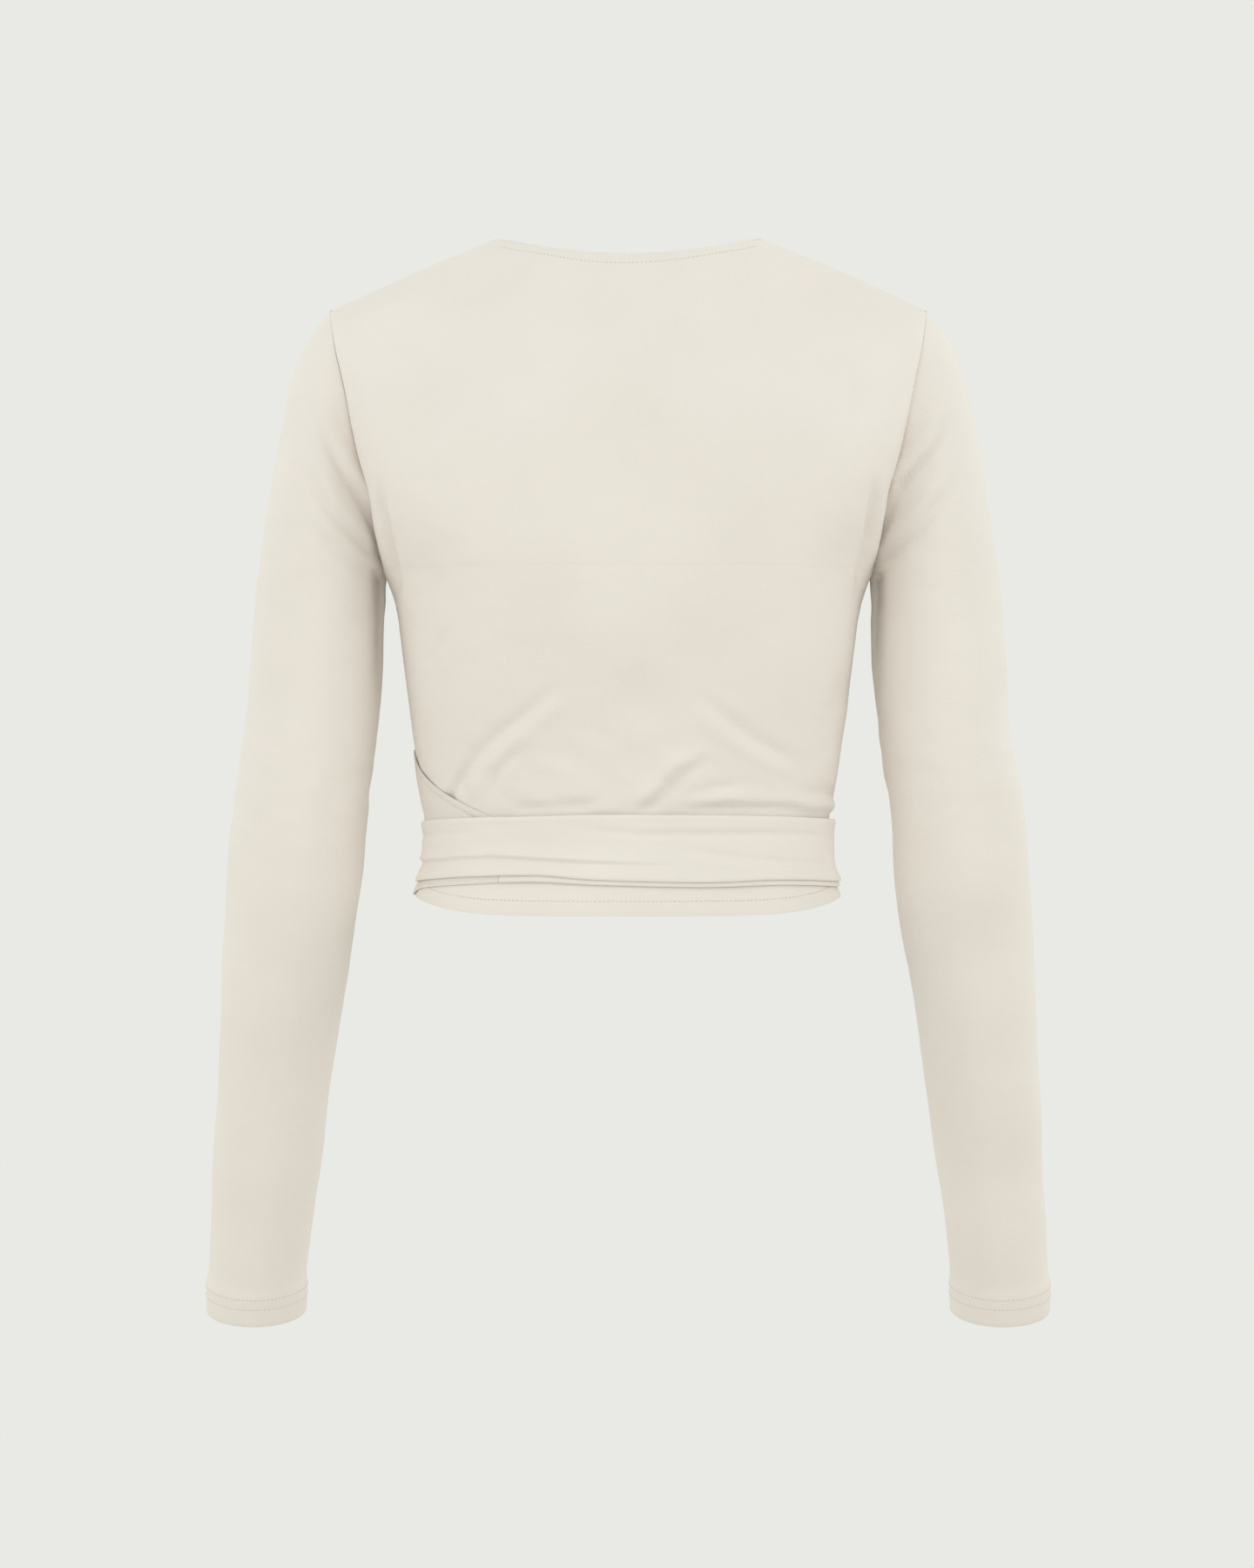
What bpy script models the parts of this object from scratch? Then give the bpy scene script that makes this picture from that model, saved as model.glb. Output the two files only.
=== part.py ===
"""Cropped wrap top in cream single jersey, worn and hollow, one solid for each cut piece.

The origin is midway between the two neck points, where the shoulders carry the top. The front
faces -Y and +Z is up, so +X is the wearer's left. Sizes are in millimetres until make_object.
"""

import bpy
import numpy as np

MM = 0.001
WALL = 1.1           # cloth, with its turned edges
LAYER = 2.1          # from one lying layer to the next
CROSS_ROOM = 0.5     # more, between the two fronts where they cross
SEAM = 0.3           # between two sewn pieces

NECK_HALF = 81.0     # neck point, from the centre
NECK_BACK_DROP = 13.5
NECK_DEPTH = 50.0    # how far the neckline stands behind and before the neck points
TIP_HALF, TIP_Z = 181.0, -43.5       # shoulder tip
UNDERARM_Z = -201.0
ARMHOLE_DEPTH = 44.0
HEM_Z = -399.0
HEM_DIP = {"back": 10.0, "front": 4.0}
SQUARENESS = 2.35    # 2 is an ellipse

WRAP_SIDE_Z = -310.0         # where the front edges reach the sides
WRAP_CURVE = 2.14
WRAP_BACK_TURN = 52.0        # degrees round the back from the left side, to the tie
WRAP_BACK_FALL = 43.0
WRAP_HEM_Z = -389.9          # lower edge of the wrapped end where the tie starts
UNDER_TOP_DROP = 5.0         # from the tie's upper edge to the upper edge of its first turn
HEM_RISE = 0.035             # of the inner front's hem above the outer's, as a level
SEAM_ZONE = 0.6              # share across at which that rise starts to end in the side seam

KNOT_SIDE = 0.27             # across the front, as a share of the half width
KNOT = {"width": 34.0, "height": 45.0, "thickness": 16.0, "z": -370.0, "flat": 0.8}
KNOT_CLEAR = 2.7
END = {"start": 0.41, "finish": 0.86, "top": -362.0, "bottom": -390.0, "fall": 12.0}

CREAM = (0.83, 0.78, 0.70)
ROUGHNESS = 0.85

# Sections of the body: height, half width, and depth before and behind the side seams.
TORSO = [
    {"z": -413.0, "half": 129.5, "front": 95.0, "back": 90.0},
    {"z": -399.0, "half": 129.0, "front": 93.0, "back": 88.0},
    {"z": -389.0, "half": 124.8, "front": 90.0, "back": 84.5},
    {"z": -379.0, "half": 121.6, "front": 87.0, "back": 81.0},
    {"z": -366.0, "half": 121.0, "front": 85.0, "back": 78.5},
    {"z": -351.0, "half": 122.0, "front": 85.0, "back": 78.0},
    {"z": -342.0, "half": 124.0, "front": 86.5, "back": 78.8},
    {"z": -326.0, "half": 127.0, "front": 89.5, "back": 80.2},
    {"z": -305.0, "half": 130.2, "front": 94.0, "back": 83.4},
    {"z": -280.0, "half": 133.6, "front": 100.0, "back": 88.0},
    {"z": -252.0, "half": 137.2, "front": 105.0, "back": 93.0},
    {"z": -226.0, "half": 140.6, "front": 109.0, "back": 97.0},
    {"z": -201.0, "half": 146.5, "front": 111.0, "back": 99.0},
]

# The armhole seam: height above the underarm as a share, and distance from the centre.
ARMHOLE = [
    {"up": 0.0, "half": 146.5},
    {"up": 0.18, "half": 151.6},
    {"up": 0.45, "half": 163.2},
    {"up": 0.70, "half": 171.4},
    {"up": 0.85, "half": 177.2},
    {"up": 1.0, "half": 181.0},
]

# The sleeve's cap: rings that fan from the shoulder tip about the underarm.
CAP = [
    {"out_x": 194.2, "out_z": -61.0, "in_x": 146.7, "in_z": -202.5, "half_depth": 46.0},
    {"out_x": 205.5, "out_z": -88.0, "in_x": 146.9, "in_z": -204.5, "half_depth": 47.5},
    {"out_x": 212.5, "out_z": -122.0, "in_x": 147.1, "in_z": -207.0, "half_depth": 48.0},
    {"out_x": 219.0, "out_z": -160.0, "in_x": 147.3, "in_z": -210.0, "half_depth": 48.0},
    {"out_x": 224.5, "out_z": -199.0, "in_x": 147.5, "in_z": -214.0, "half_depth": 47.5},
]

# The rest of the sleeve: level rings, tilted where the forearm reaches forward.
SLEEVE = [
    {"z": -232.0, "outer": 227.4, "inner": 147.8, "mid_y": 1.0, "half_depth": 46.5, "tilt": 0.0},
    {"z": -258.0, "outer": 230.2, "inner": 148.4, "mid_y": 2.0, "half_depth": 46.0, "tilt": 0.0},
    {"z": -286.0, "outer": 231.6, "inner": 150.8, "mid_y": 3.5, "half_depth": 45.5, "tilt": 0.0},
    {"z": -312.0, "outer": 234.2, "inner": 153.8, "mid_y": 5.0, "half_depth": 45.0, "tilt": 1.0},
    {"z": -338.0, "outer": 238.6, "inner": 157.2, "mid_y": 6.0, "half_depth": 44.0, "tilt": 2.0},
    {"z": -362.0, "outer": 242.0, "inner": 159.9, "mid_y": 5.5, "half_depth": 43.0, "tilt": 4.0},
    {"z": -386.0, "outer": 243.8, "inner": 161.8, "mid_y": 3.0, "half_depth": 42.0, "tilt": 8.0},
    {"z": -412.0, "outer": 245.8, "inner": 165.3, "mid_y": -2.0, "half_depth": 40.5, "tilt": 11.0},
    {"z": -440.3, "outer": 248.0, "inner": 170.3, "mid_y": -8.5, "half_depth": 38.8, "tilt": 13.0},
    {"z": -470.7, "outer": 249.5, "inner": 175.5, "mid_y": -16.0, "half_depth": 37.0, "tilt": 14.0},
    {"z": -503.4, "outer": 251.4, "inner": 180.8, "mid_y": -24.0, "half_depth": 35.2, "tilt": 15.0},
    {"z": -538.3, "outer": 254.0, "inner": 186.0, "mid_y": -33.0, "half_depth": 33.8, "tilt": 15.0},
    {"z": -573.4, "outer": 256.1, "inner": 191.2, "mid_y": -42.0, "half_depth": 32.6, "tilt": 15.0},
    {"z": -606.5, "outer": 258.5, "inner": 196.2, "mid_y": -50.5, "half_depth": 31.4, "tilt": 15.0},
    {"z": -632.6, "outer": 260.3, "inner": 199.5, "mid_y": -57.0, "half_depth": 30.7, "tilt": 15.0},
    {"z": -638.9, "outer": 261.6, "inner": 199.4, "mid_y": -58.5, "half_depth": 31.1, "tilt": 15.0},
    {"z": -657.2, "outer": 261.7, "inner": 200.2, "mid_y": -63.1, "half_depth": 30.9, "tilt": 15.0},
]

# The band across the back, by the turn round the body in degrees from the left side.
# The wearer's left side is 0, the centre back 90, the right side 180 and the front 180 to 360.
BAND = [
    {"turn": 0.0, "top": -353.5, "bottom": -392.2, "under": -395.4},
    {"turn": 43.0, "top": -350.8, "bottom": -387.3, "under": -390.6},
    {"turn": 64.0, "top": -350.0, "bottom": -386.4, "under": -389.6},
    {"turn": 81.0, "top": -349.0, "bottom": -388.9, "under": -391.2},
    {"turn": 112.0, "top": -349.3, "bottom": -390.5, "under": -392.6},
    {"turn": 134.0, "top": -350.0, "bottom": -389.2, "under": -391.6},
    {"turn": 180.0, "top": -352.0, "bottom": -391.7, "under": -393.8},
    {"turn": 270.0, "top": -350.0, "bottom": -389.5, "under": -392.0},
    {"turn": 360.0, "top": -353.5, "bottom": -392.2, "under": -395.4},
]

SIDE_COLUMNS, NECK_COLUMNS = 6, 6
BODY_ROWS = [-399, -394, -388, -380, -366, -351, -342, -326, -305, -280, -252, -226, -201]
ARMHOLE_ROWS = 8
EXTENSION_COLUMNS = 5
BAND_STEP = 7.5      # degrees
BAND_ROWS = 3


def smooth(table, key, value, at):
    """A monotone cubic through a table's rows."""
    rows = sorted(table, key=lambda row: row[key])
    xs = np.array([row[key] for row in rows])
    ys = np.array([row[value] for row in rows])
    slopes = np.diff(ys) / np.diff(xs)
    tangents = np.zeros(len(xs))
    tangents[0], tangents[-1] = slopes[0], slopes[-1]
    for i in range(1, len(xs) - 1):
        if slopes[i - 1] * slopes[i] > 0:
            tangents[i] = 2 * slopes[i - 1] * slopes[i] / (slopes[i - 1] + slopes[i])
    at = min(max(at, xs[0]), xs[-1])
    i = min(int(np.searchsorted(xs, at, side="right")) - 1, len(xs) - 2)
    width = xs[i + 1] - xs[i]
    t = (at - xs[i]) / width
    return (
        (2 * t**3 - 3 * t**2 + 1) * ys[i]
        + (t**3 - 2 * t**2 + t) * width * tangents[i]
        + (3 * t**2 - 2 * t**3) * ys[i + 1]
        + (t**3 - t**2) * width * tangents[i + 1]
    )


def bulge(across):
    return max(0.0, 1 - abs(across) ** SQUARENESS) ** (1 / SQUARENESS)


def body_point(across, z, side):
    """A point of the tube below the armholes. across is -1 at the right side seam, 1 at the left."""
    depth = smooth(TORSO, "z", side, z) * bulge(across)
    return np.array([
        across * smooth(TORSO, "z", "half", z),
        depth if side == "back" else -depth,
        z,
    ])


def top_height(across, side):
    """The shoulder seam, and between the neck points the neckline."""
    half = abs(across) * TIP_HALF
    if half >= NECK_HALF:
        t = (half - NECK_HALF) / (TIP_HALF - NECK_HALF)
        return TIP_Z * (0.88 * t + 0.12 * t * t)
    drop = NECK_BACK_DROP if side == "back" else 0.0
    return -drop * (1 - (half / NECK_HALF) ** 2)


def chest_point(across, up, side):
    """A point above the armholes. up is 0 level with the underarms, 1 on the shoulder seam."""
    half = smooth(ARMHOLE, "up", "half", up)
    z = UNDERARM_Z + (top_height(across, side) - UNDERARM_Z) * up
    neck = NECK_HALF / TIP_HALF
    rim = NECK_DEPTH * max(0.0, 1 - (across / neck) ** 2) ** 0.6
    root = smooth(TORSO, "z", side, UNDERARM_Z) * bulge(across)
    rounding = (1 - up**2.6) ** 0.62 if side == "back" else (1 - up**1.9) ** 0.7
    depth = rim + (root - rim) * rounding
    depth += 2 * ARMHOLE_DEPTH * np.sqrt(max(0.0, up * (1 - up))) * abs(across) ** 5
    return np.array([across * half, depth if side == "back" else -depth, z])


def hem_dip(across, level, side):
    """How far the cloth is below its even height: most at the middle of the hem."""
    return HEM_DIP[side] * (1 - across**6) * max(0.0, 1 - level * 6) ** 2


def panel_point(across, level, side):
    """level is 0 at the hem, 1 at the underarm and 2 on the shoulder seam."""
    if level > 1:
        return chest_point(across, min(level - 1, 1.0), side)
    z = HEM_Z + (UNDERARM_Z - HEM_Z) * level - hem_dip(across, level, side)
    return body_point(across, z, side)


def level_of(z):
    return (z - HEM_Z) / (UNDERARM_Z - HEM_Z)


def level_at(across, z, side):
    """The level at which the cloth is at height z, near the dipping hem too."""
    level = level_of(z)
    for _ in range(12):
        level = level_of(z + hem_dip(across, level, side))
    return level


def outward(point, u, v, step=0.002):
    """The normal of a surface given as a function, by differences, turned to face out."""
    along = point(u + step, v) - point(u - step, v)
    up = point(u, v + step) - point(u, v - step)
    normal = np.cross(along, up)
    normal /= max(np.linalg.norm(normal), 1e-9)
    radial = np.array([point(u, v)[0], point(u, v)[1], 0.0])
    return normal if normal @ radial >= 0 else -normal


def lifted(across, level, side, height):
    """A panel point moved out by height, square to the cloth but never up past its seams."""
    inside = float(np.clip(across, -0.985, 0.985))
    low = float(np.clip(level, 0.01, 1.9))

    def surface(u, v):
        return panel_point(u, v, side)

    normal = outward(surface, inside, low)
    return panel_point(across, level, side) + height * normal


def columns():
    """Stations across a panel, closer where it turns round the sides, with one on each neck point."""
    neck = np.degrees(np.arccos(NECK_HALF / TIP_HALF))
    angles = np.concatenate([
        np.linspace(0, neck, SIDE_COLUMNS + 1),
        np.linspace(neck, 180 - neck, NECK_COLUMNS + 1)[1:],
        np.linspace(180 - neck, 180, SIDE_COLUMNS + 1)[1:],
    ])
    return -np.cos(np.radians(angles))


def levels():
    """Rows up a panel: the body's own heights, then even turns round the armhole."""
    body = [(z - HEM_Z) / (UNDERARM_Z - HEM_Z) for z in BODY_ROWS]
    turns = np.linspace(np.pi, 0, ARMHOLE_ROWS + 1)[1:]
    return np.array(body + [1 + (1 + np.cos(turn)) / 2 for turn in turns])


def free_edge(across):
    """The level of front_right's edge: the shoulder up to the neck point, then the crossing."""
    neck = NECK_HALF / TIP_HALF
    if across <= -neck:
        return 2.0
    side = (WRAP_SIDE_Z - HEM_Z) / (UNDERARM_Z - HEM_Z)
    return side + (2 - side) * ((1 - across) / (1 + neck)) ** WRAP_CURVE


def grid_normals(grid, closed=False):
    """Vertex normals of a grid of points, rows by columns, facing away from its wall."""
    along = np.roll(grid, -1, 1) - np.roll(grid, 1, 1) if closed else np.gradient(grid, axis=1)
    up = np.gradient(grid, axis=0)
    normals = np.cross(along, up)
    return normals / np.maximum(np.linalg.norm(normals, axis=2, keepdims=True), 1e-9)


def share_normals(pieces):
    """Sewn pieces take one wall direction at each point of their seam, unless it is a deep fold."""
    found = {}
    for piece in pieces.values():
        for point, normal in zip(piece["grid"].reshape(-1, 3), piece["normals"].reshape(-1, 3)):
            found.setdefault(tuple(np.round(point, 3)), []).append(normal.copy())
    for piece in pieces.values():
        points = piece["grid"].reshape(-1, 3)
        normals = piece["normals"].reshape(-1, 3)
        for i, point in enumerate(points):
            near = [n for n in found[tuple(np.round(point, 3))] if n @ normals[i] > 0.3]
            mean = np.sum(near, axis=0)
            normals[i] = mean / np.linalg.norm(mean)


def pull_back(grid, edges, amount):
    """Moves a grid's edge points along the cloth, away from the seam."""
    for edge in edges:
        last, before = {
            "first_row": (np.s_[0, :], np.s_[1, :]),
            "last_row": (np.s_[-1, :], np.s_[-2, :]),
            "first_column": (np.s_[:, 0], np.s_[:, 1]),
            "last_column": (np.s_[:, -1], np.s_[:, -2]),
        }[edge]
        step = grid[before] - grid[last]
        length = np.maximum(np.linalg.norm(step, axis=1, keepdims=True), 1e-6)
        grid[last] += step / length * np.minimum(amount, 0.4 * length)


def make_object(name, grid, normals, closed=False):
    """A wall of WALL behind a grid of outer points, closed at its edges, as one object."""
    rows, count = grid.shape[:2]
    points = np.concatenate([grid.reshape(-1, 3), (grid - WALL * normals).reshape(-1, 3)])
    inner = rows * count
    faces = []

    def quad(a, b, c, d):
        faces.append((a, b, c, d))

    last = count if closed else count - 1
    for i in range(rows - 1):
        for j in range(last):
            a, b = i * count + j, i * count + (j + 1) % count
            c, d = b + count, a + count
            quad(a, b, c, d)
            quad(inner + d, inner + c, inner + b, inner + a)
    for j in range(last):
        a, b = j, (j + 1) % count
        quad(b, a, inner + a, inner + b)
        a, b = (rows - 1) * count + a, (rows - 1) * count + b
        quad(a, b, inner + b, inner + a)
    if not closed:
        for i in range(rows - 1):
            a, d = i * count, (i + 1) * count
            quad(a, d, inner + d, inner + a)
            b, c = a + count - 1, d + count - 1
            quad(c, b, inner + b, inner + c)
    mesh = bpy.data.meshes.new(name)
    mesh.from_pydata([tuple(p * MM) for p in points], [], faces)
    finish_object(name, mesh)


def finish_object(name, mesh):
    mesh.validate()
    mesh.shade_smooth()
    mesh.set_sharp_from_angle(angle=np.radians(50))
    material = bpy.data.materials.new(name + "_jersey")
    material.use_nodes = True
    shader = material.node_tree.nodes["Principled BSDF"]
    shader.inputs["Base Color"].default_value = (*CREAM, 1.0)
    shader.inputs["Roughness"].default_value = ROUGHNESS
    mesh.materials.append(material)
    bpy.context.scene.collection.objects.link(bpy.data.objects.new(name, mesh))


def back_grid():
    return np.array([
        [panel_point(across, level, "back") for across in columns()[::-1]] for level in levels()
    ])


def crossing(across):
    """How far front_right stands off the body as it climbs over front_left."""
    return LAYER * (1 + across) / 2


def front_lift(across, level, layer):
    """How far a front stands off the body: all of its lift at the waist, none on the shoulder."""
    settle = 1 - min(max(level - 1, 0.0), 1.0) ** 2
    return (crossing(across) + layer) * settle


def front_right_grid():
    rows = []
    for level in levels():
        row = []
        for across in columns():
            at = level * free_edge(across) / 2
            row.append(lifted(across, at, "front", front_lift(across, at, 0.0)))
        for k in range(1, EXTENSION_COLUMNS + 1):
            share = k / EXTENSION_COLUMNS
            across = np.cos(np.radians(WRAP_BACK_TURN * share))
            edge = WRAP_SIDE_Z - WRAP_BACK_FALL * share**0.85
            low = HEM_Z + (WRAP_HEM_Z - HEM_Z) * (0.4 * (1 - (1 - share) ** 8) + 0.6 * share)
            at = level_at(across, low + (edge - low) * level / 2, "back")
            row.append(lifted(across, at, "back", LAYER))
        rows.append(row)
    return np.array(rows)


def front_left_grid():
    """The inner front. Its hem is a little above the outer front's, except near the side seam."""
    rows = []
    for level in levels():
        row = []
        for across in columns():
            free = 1 - min(1.0, max(0.0, (across - SEAM_ZONE) / (1 - SEAM_ZONE)))
            at = level * free_edge(-across) / 2
            at += HEM_RISE * free * max(0.0, 1 - level)
            layer = -LAYER - CROSS_ROOM * (1 - across**2)
            row.append(lifted(across, at, "front", front_lift(across, at, layer)))
        rows.append(row)
    return np.array(rows)


def sleeve_grid(side):
    """Rings from the armhole to the cuff. Each starts at its outer point and passes the back."""
    turns = np.linspace(0, 2 * np.pi, 2 * ARMHOLE_ROWS, endpoint=False)
    armhole = []
    for turn in turns:
        up = (1 + np.cos(turn)) / 2
        face = "back" if np.sin(turn) >= 0 else "front"
        armhole.append(chest_point(1.0, up, face))
    rings = [armhole]
    for row in CAP:
        out = np.array([row["out_x"], 0.0, row["out_z"]])
        low = np.array([row["in_x"], 0.0, row["in_z"]])
        depth = np.array([0.0, row["half_depth"], 0.0])
        rings.append([
            (out + low) / 2 + (out - low) / 2 * np.cos(turn) + depth * np.sin(turn)
            for turn in turns
        ])
    for row in SLEEVE:
        tilt = np.radians(row["tilt"])
        middle = np.array([(row["outer"] + row["inner"]) / 2, row["mid_y"], row["z"]])
        wide = np.array([(row["outer"] - row["inner"]) / 2, 0.0, 0.0])
        deep = row["half_depth"] * np.array([0.0, np.cos(tilt), -np.sin(tilt)])
        rings.append([middle + wide * np.cos(turn) + deep * np.sin(turn) for turn in turns])
    grid = np.array(rings)
    if side == "right":
        grid[:, :, 0] *= -1
        return grid[::-1, ::-1]
    return grid[::-1]


def round_body(turn, z, layer):
    """A point on a layer round the body, by its turn in degrees from the left side."""
    across = np.cos(np.radians(turn))
    side = "back" if turn % 360 <= 180 else "front"
    height = layer + (crossing(across) if side == "front" else 0.0)
    return lifted(across, level_at(across, z, side), side, height)


def band_turns(start, finish):
    count = int(round(abs(finish - start) / BAND_STEP))
    return np.linspace(start, finish, count + 1)


def tie_under_grid():
    """The first turn: from the wrapped end, over the back and the right side, to the knot."""
    rows = []
    knot = 360 - np.degrees(np.arccos(KNOT_SIDE))
    for k in range(BAND_ROWS + 1):
        row = []
        for turn in band_turns(WRAP_BACK_TURN + 0.3, knot):
            low = smooth(BAND, "turn", "under", turn)
            high = smooth(BAND, "turn", "top", turn) - UNDER_TOP_DROP
            row.append(round_body(turn, low + (high - low) * k / BAND_ROWS, LAYER))
        rows.append(row)
    return np.array(rows)


def tie_over_grid():
    """The second turn: from the knot over the left side, the back and the right side to the knot."""
    rows = []
    knot = 360 - np.degrees(np.arccos(KNOT_SIDE))
    for k in range(BAND_ROWS + 1):
        row = []
        for turn in band_turns(knot - 360 + 1.0, knot):
            low = smooth(BAND, "turn", "bottom", turn % 360)
            high = smooth(BAND, "turn", "top", turn % 360)
            z = low + (high - low) * k / BAND_ROWS
            first = turn < 0
            row.append(round_body(turn % 360, z, LAYER if first else 2 * LAYER))
        rows.append(row)
    return np.array(rows)


def tie_end_grid():
    """The free end, from the knot along the band to the wearer's left."""
    rows = []
    stations = np.linspace(END["start"], END["finish"], 6)
    for k in range(3):
        row = []
        for across in stations:
            share = (across - END["start"]) / (END["finish"] - END["start"])
            z = END["bottom"] + (END["top"] - END["bottom"]) * k / 2 - END["fall"] * share
            row.append(lifted(across, level_of(z), "front", crossing(across) + 2 * LAYER))
        rows.append(row)
    return np.array(rows)


def make_knot():
    """The knot: a flattened round, drawn in at its waist, on the band."""
    middle = lifted(KNOT_SIDE, level_of(KNOT["z"]), "front", 0.0)
    normal = lifted(KNOT_SIDE, level_of(KNOT["z"]), "front", 1.0) - middle
    normal[2] = 0.0
    normal /= np.linalg.norm(normal)
    along = np.array([normal[1], -normal[0], 0.0])
    stand = crossing(KNOT_SIDE) + 2 * LAYER + KNOT_CLEAR
    points, faces = [], []
    rings, count = 8, 16
    for i in range(rings + 1):
        rise = -np.cos(np.pi * i / rings)
        girth = np.sin(np.pi * i / rings) ** 0.7 if 0 < i < rings else 0.0
        for j in range(count if 0 < i < rings else 1):
            turn = 2 * np.pi * j / count
            wide = KNOT["width"] / 2 * girth * np.cos(turn)
            out = KNOT["thickness"] / 2 * (girth * np.sin(turn) + 1)
            out = max(out, KNOT["flat"])
            points.append(
                middle + along * wide + normal * (stand + out)
                + np.array([0.0, 0.0, KNOT["height"] / 2 * rise])
            )
    top = len(points) - 1
    for j in range(count):
        k = (j + 1) % count
        faces.append((0, 1 + k, 1 + j))
        faces.append((top, top - count + j, top - count + k))
        for i in range(rings - 2):
            a, b = 1 + i * count + j, 1 + i * count + k
            faces.append((a, b, b + count, a + count))
    mesh = bpy.data.meshes.new("tie_knot")
    mesh.from_pydata([tuple(p * MM) for p in points], [], faces)
    finish_object("tie_knot", mesh)


def main():
    for old in list(bpy.data.objects):
        bpy.data.objects.remove(old)
    sewn = {
        "back": {"grid": back_grid(), "edges": ("last_row", "first_column", "last_column")},
        "front_right": {"grid": front_right_grid(), "edges": ("last_row", "first_column")},
        "front_left": {
            "grid": front_left_grid(),
            "edges": ("last_row", "first_column", "last_column"),
        },
        "sleeve_left": {"grid": sleeve_grid("left"), "edges": ("last_row",), "closed": True},
        "sleeve_right": {"grid": sleeve_grid("right"), "edges": ("last_row",), "closed": True},
    }
    for piece in sewn.values():
        piece["normals"] = grid_normals(piece["grid"], piece.get("closed", False))
    share_normals(sewn)
    for name, piece in sewn.items():
        pull_back(piece["grid"], piece["edges"], SEAM / 2)
        make_object(name, piece["grid"], piece["normals"], piece.get("closed", False))
    for name, grid in (
        ("tie_under", tie_under_grid()),
        ("tie_over", tie_over_grid()),
        ("tie_end", tie_end_grid()),
    ):
        make_object(name, grid, grid_normals(grid))
    make_knot()


main()
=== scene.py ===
"""Looks of the cropped wrap top: every cut piece is a thin shell of cream jersey on its solid's form.

Each shell is a fine grid over the same sections as its solid, in millimetres, with seams rolled in,
turned edges, topstitching and listed creases. The front faces -Y and +X is the wearer's left.
"""

import math

import bpy
import numpy as np
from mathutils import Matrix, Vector


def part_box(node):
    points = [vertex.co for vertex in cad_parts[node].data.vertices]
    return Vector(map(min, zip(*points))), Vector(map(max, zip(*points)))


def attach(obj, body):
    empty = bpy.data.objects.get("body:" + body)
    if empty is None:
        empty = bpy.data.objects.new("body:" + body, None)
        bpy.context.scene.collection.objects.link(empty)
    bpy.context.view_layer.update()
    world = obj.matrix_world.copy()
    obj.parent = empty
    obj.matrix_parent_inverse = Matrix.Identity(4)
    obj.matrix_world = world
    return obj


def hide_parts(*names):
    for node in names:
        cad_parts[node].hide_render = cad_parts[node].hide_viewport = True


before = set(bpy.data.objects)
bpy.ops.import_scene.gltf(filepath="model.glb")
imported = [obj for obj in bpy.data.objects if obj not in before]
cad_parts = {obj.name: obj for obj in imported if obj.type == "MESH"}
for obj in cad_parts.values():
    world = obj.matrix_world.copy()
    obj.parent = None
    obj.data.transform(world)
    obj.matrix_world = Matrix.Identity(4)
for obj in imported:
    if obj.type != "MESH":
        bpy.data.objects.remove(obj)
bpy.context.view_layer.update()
bpy.ops.object.select_all(action="DESELECT")

MM = 0.001
BACK, FRONT = 1, -1
SEAM_HALF = 0.15            # half the gap between two sewn solids
STITCHED_HALF = 0.05        # half the gap that shows along a seam

# ---- sizes in millimetres, the same as the solids' ---------------------------------------------
BACK_LOW, BACK_HIGH = (np.array(corner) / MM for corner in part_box("back"))
SLEEVE_HIGH = np.array(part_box("sleeve_left")[1]) / MM
TIP_HALF = BACK_HIGH[0] + SEAM_HALF
TIP_Z = SLEEVE_HIGH[2] + SEAM_HALF
HEM_DIP = {BACK: 10.0, FRONT: 4.0}      # how far the hem's middle hangs below its ends
HEM_Z = BACK_LOW[2] + HEM_DIP[BACK]
HEM_ZONE = 1 / 6            # the dip is gone this share of the way up to the underarm
UNDERARM_Z = -201.0
NECK_HALF = 81.0
NECK_BACK_DROP = 13.5       # how far the neck edge hangs in the middle of the back
NECK_DEPTH = 50.0           # half the neck opening, from front to back
NECK = NECK_HALF / TIP_HALF
ARMHOLE_DEPTH = 44.0
SQUARENESS = 2.35           # of the body's section: an ellipse would be 2
LAYER = 2.1                 # from one layer of cloth to the next
CROSS_ROOM = 0.5            # more than that between the fronts, in the middle
WRAP_SIDE_Z = -310.0        # where the crossing edge reaches the left side seam
WRAP_CURVE = 2.14           # how late it turns down on its way there
WRAP_BACK_TURN = 52.0       # degrees that the outer front goes round the back
WRAP_BACK_FALL = 43.0       # how far its edge falls on that way
WRAP_HEM_Z = -389.9         # where its hem ends, under the tie
TIE_TOP_Z = -349.0          # the tie covers the creases below this
KNOT_SIDE = 0.27            # the knot's place, as a share of the way to the left side seam
KNOT_TURN = 360 - math.degrees(math.acos(KNOT_SIDE))

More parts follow.
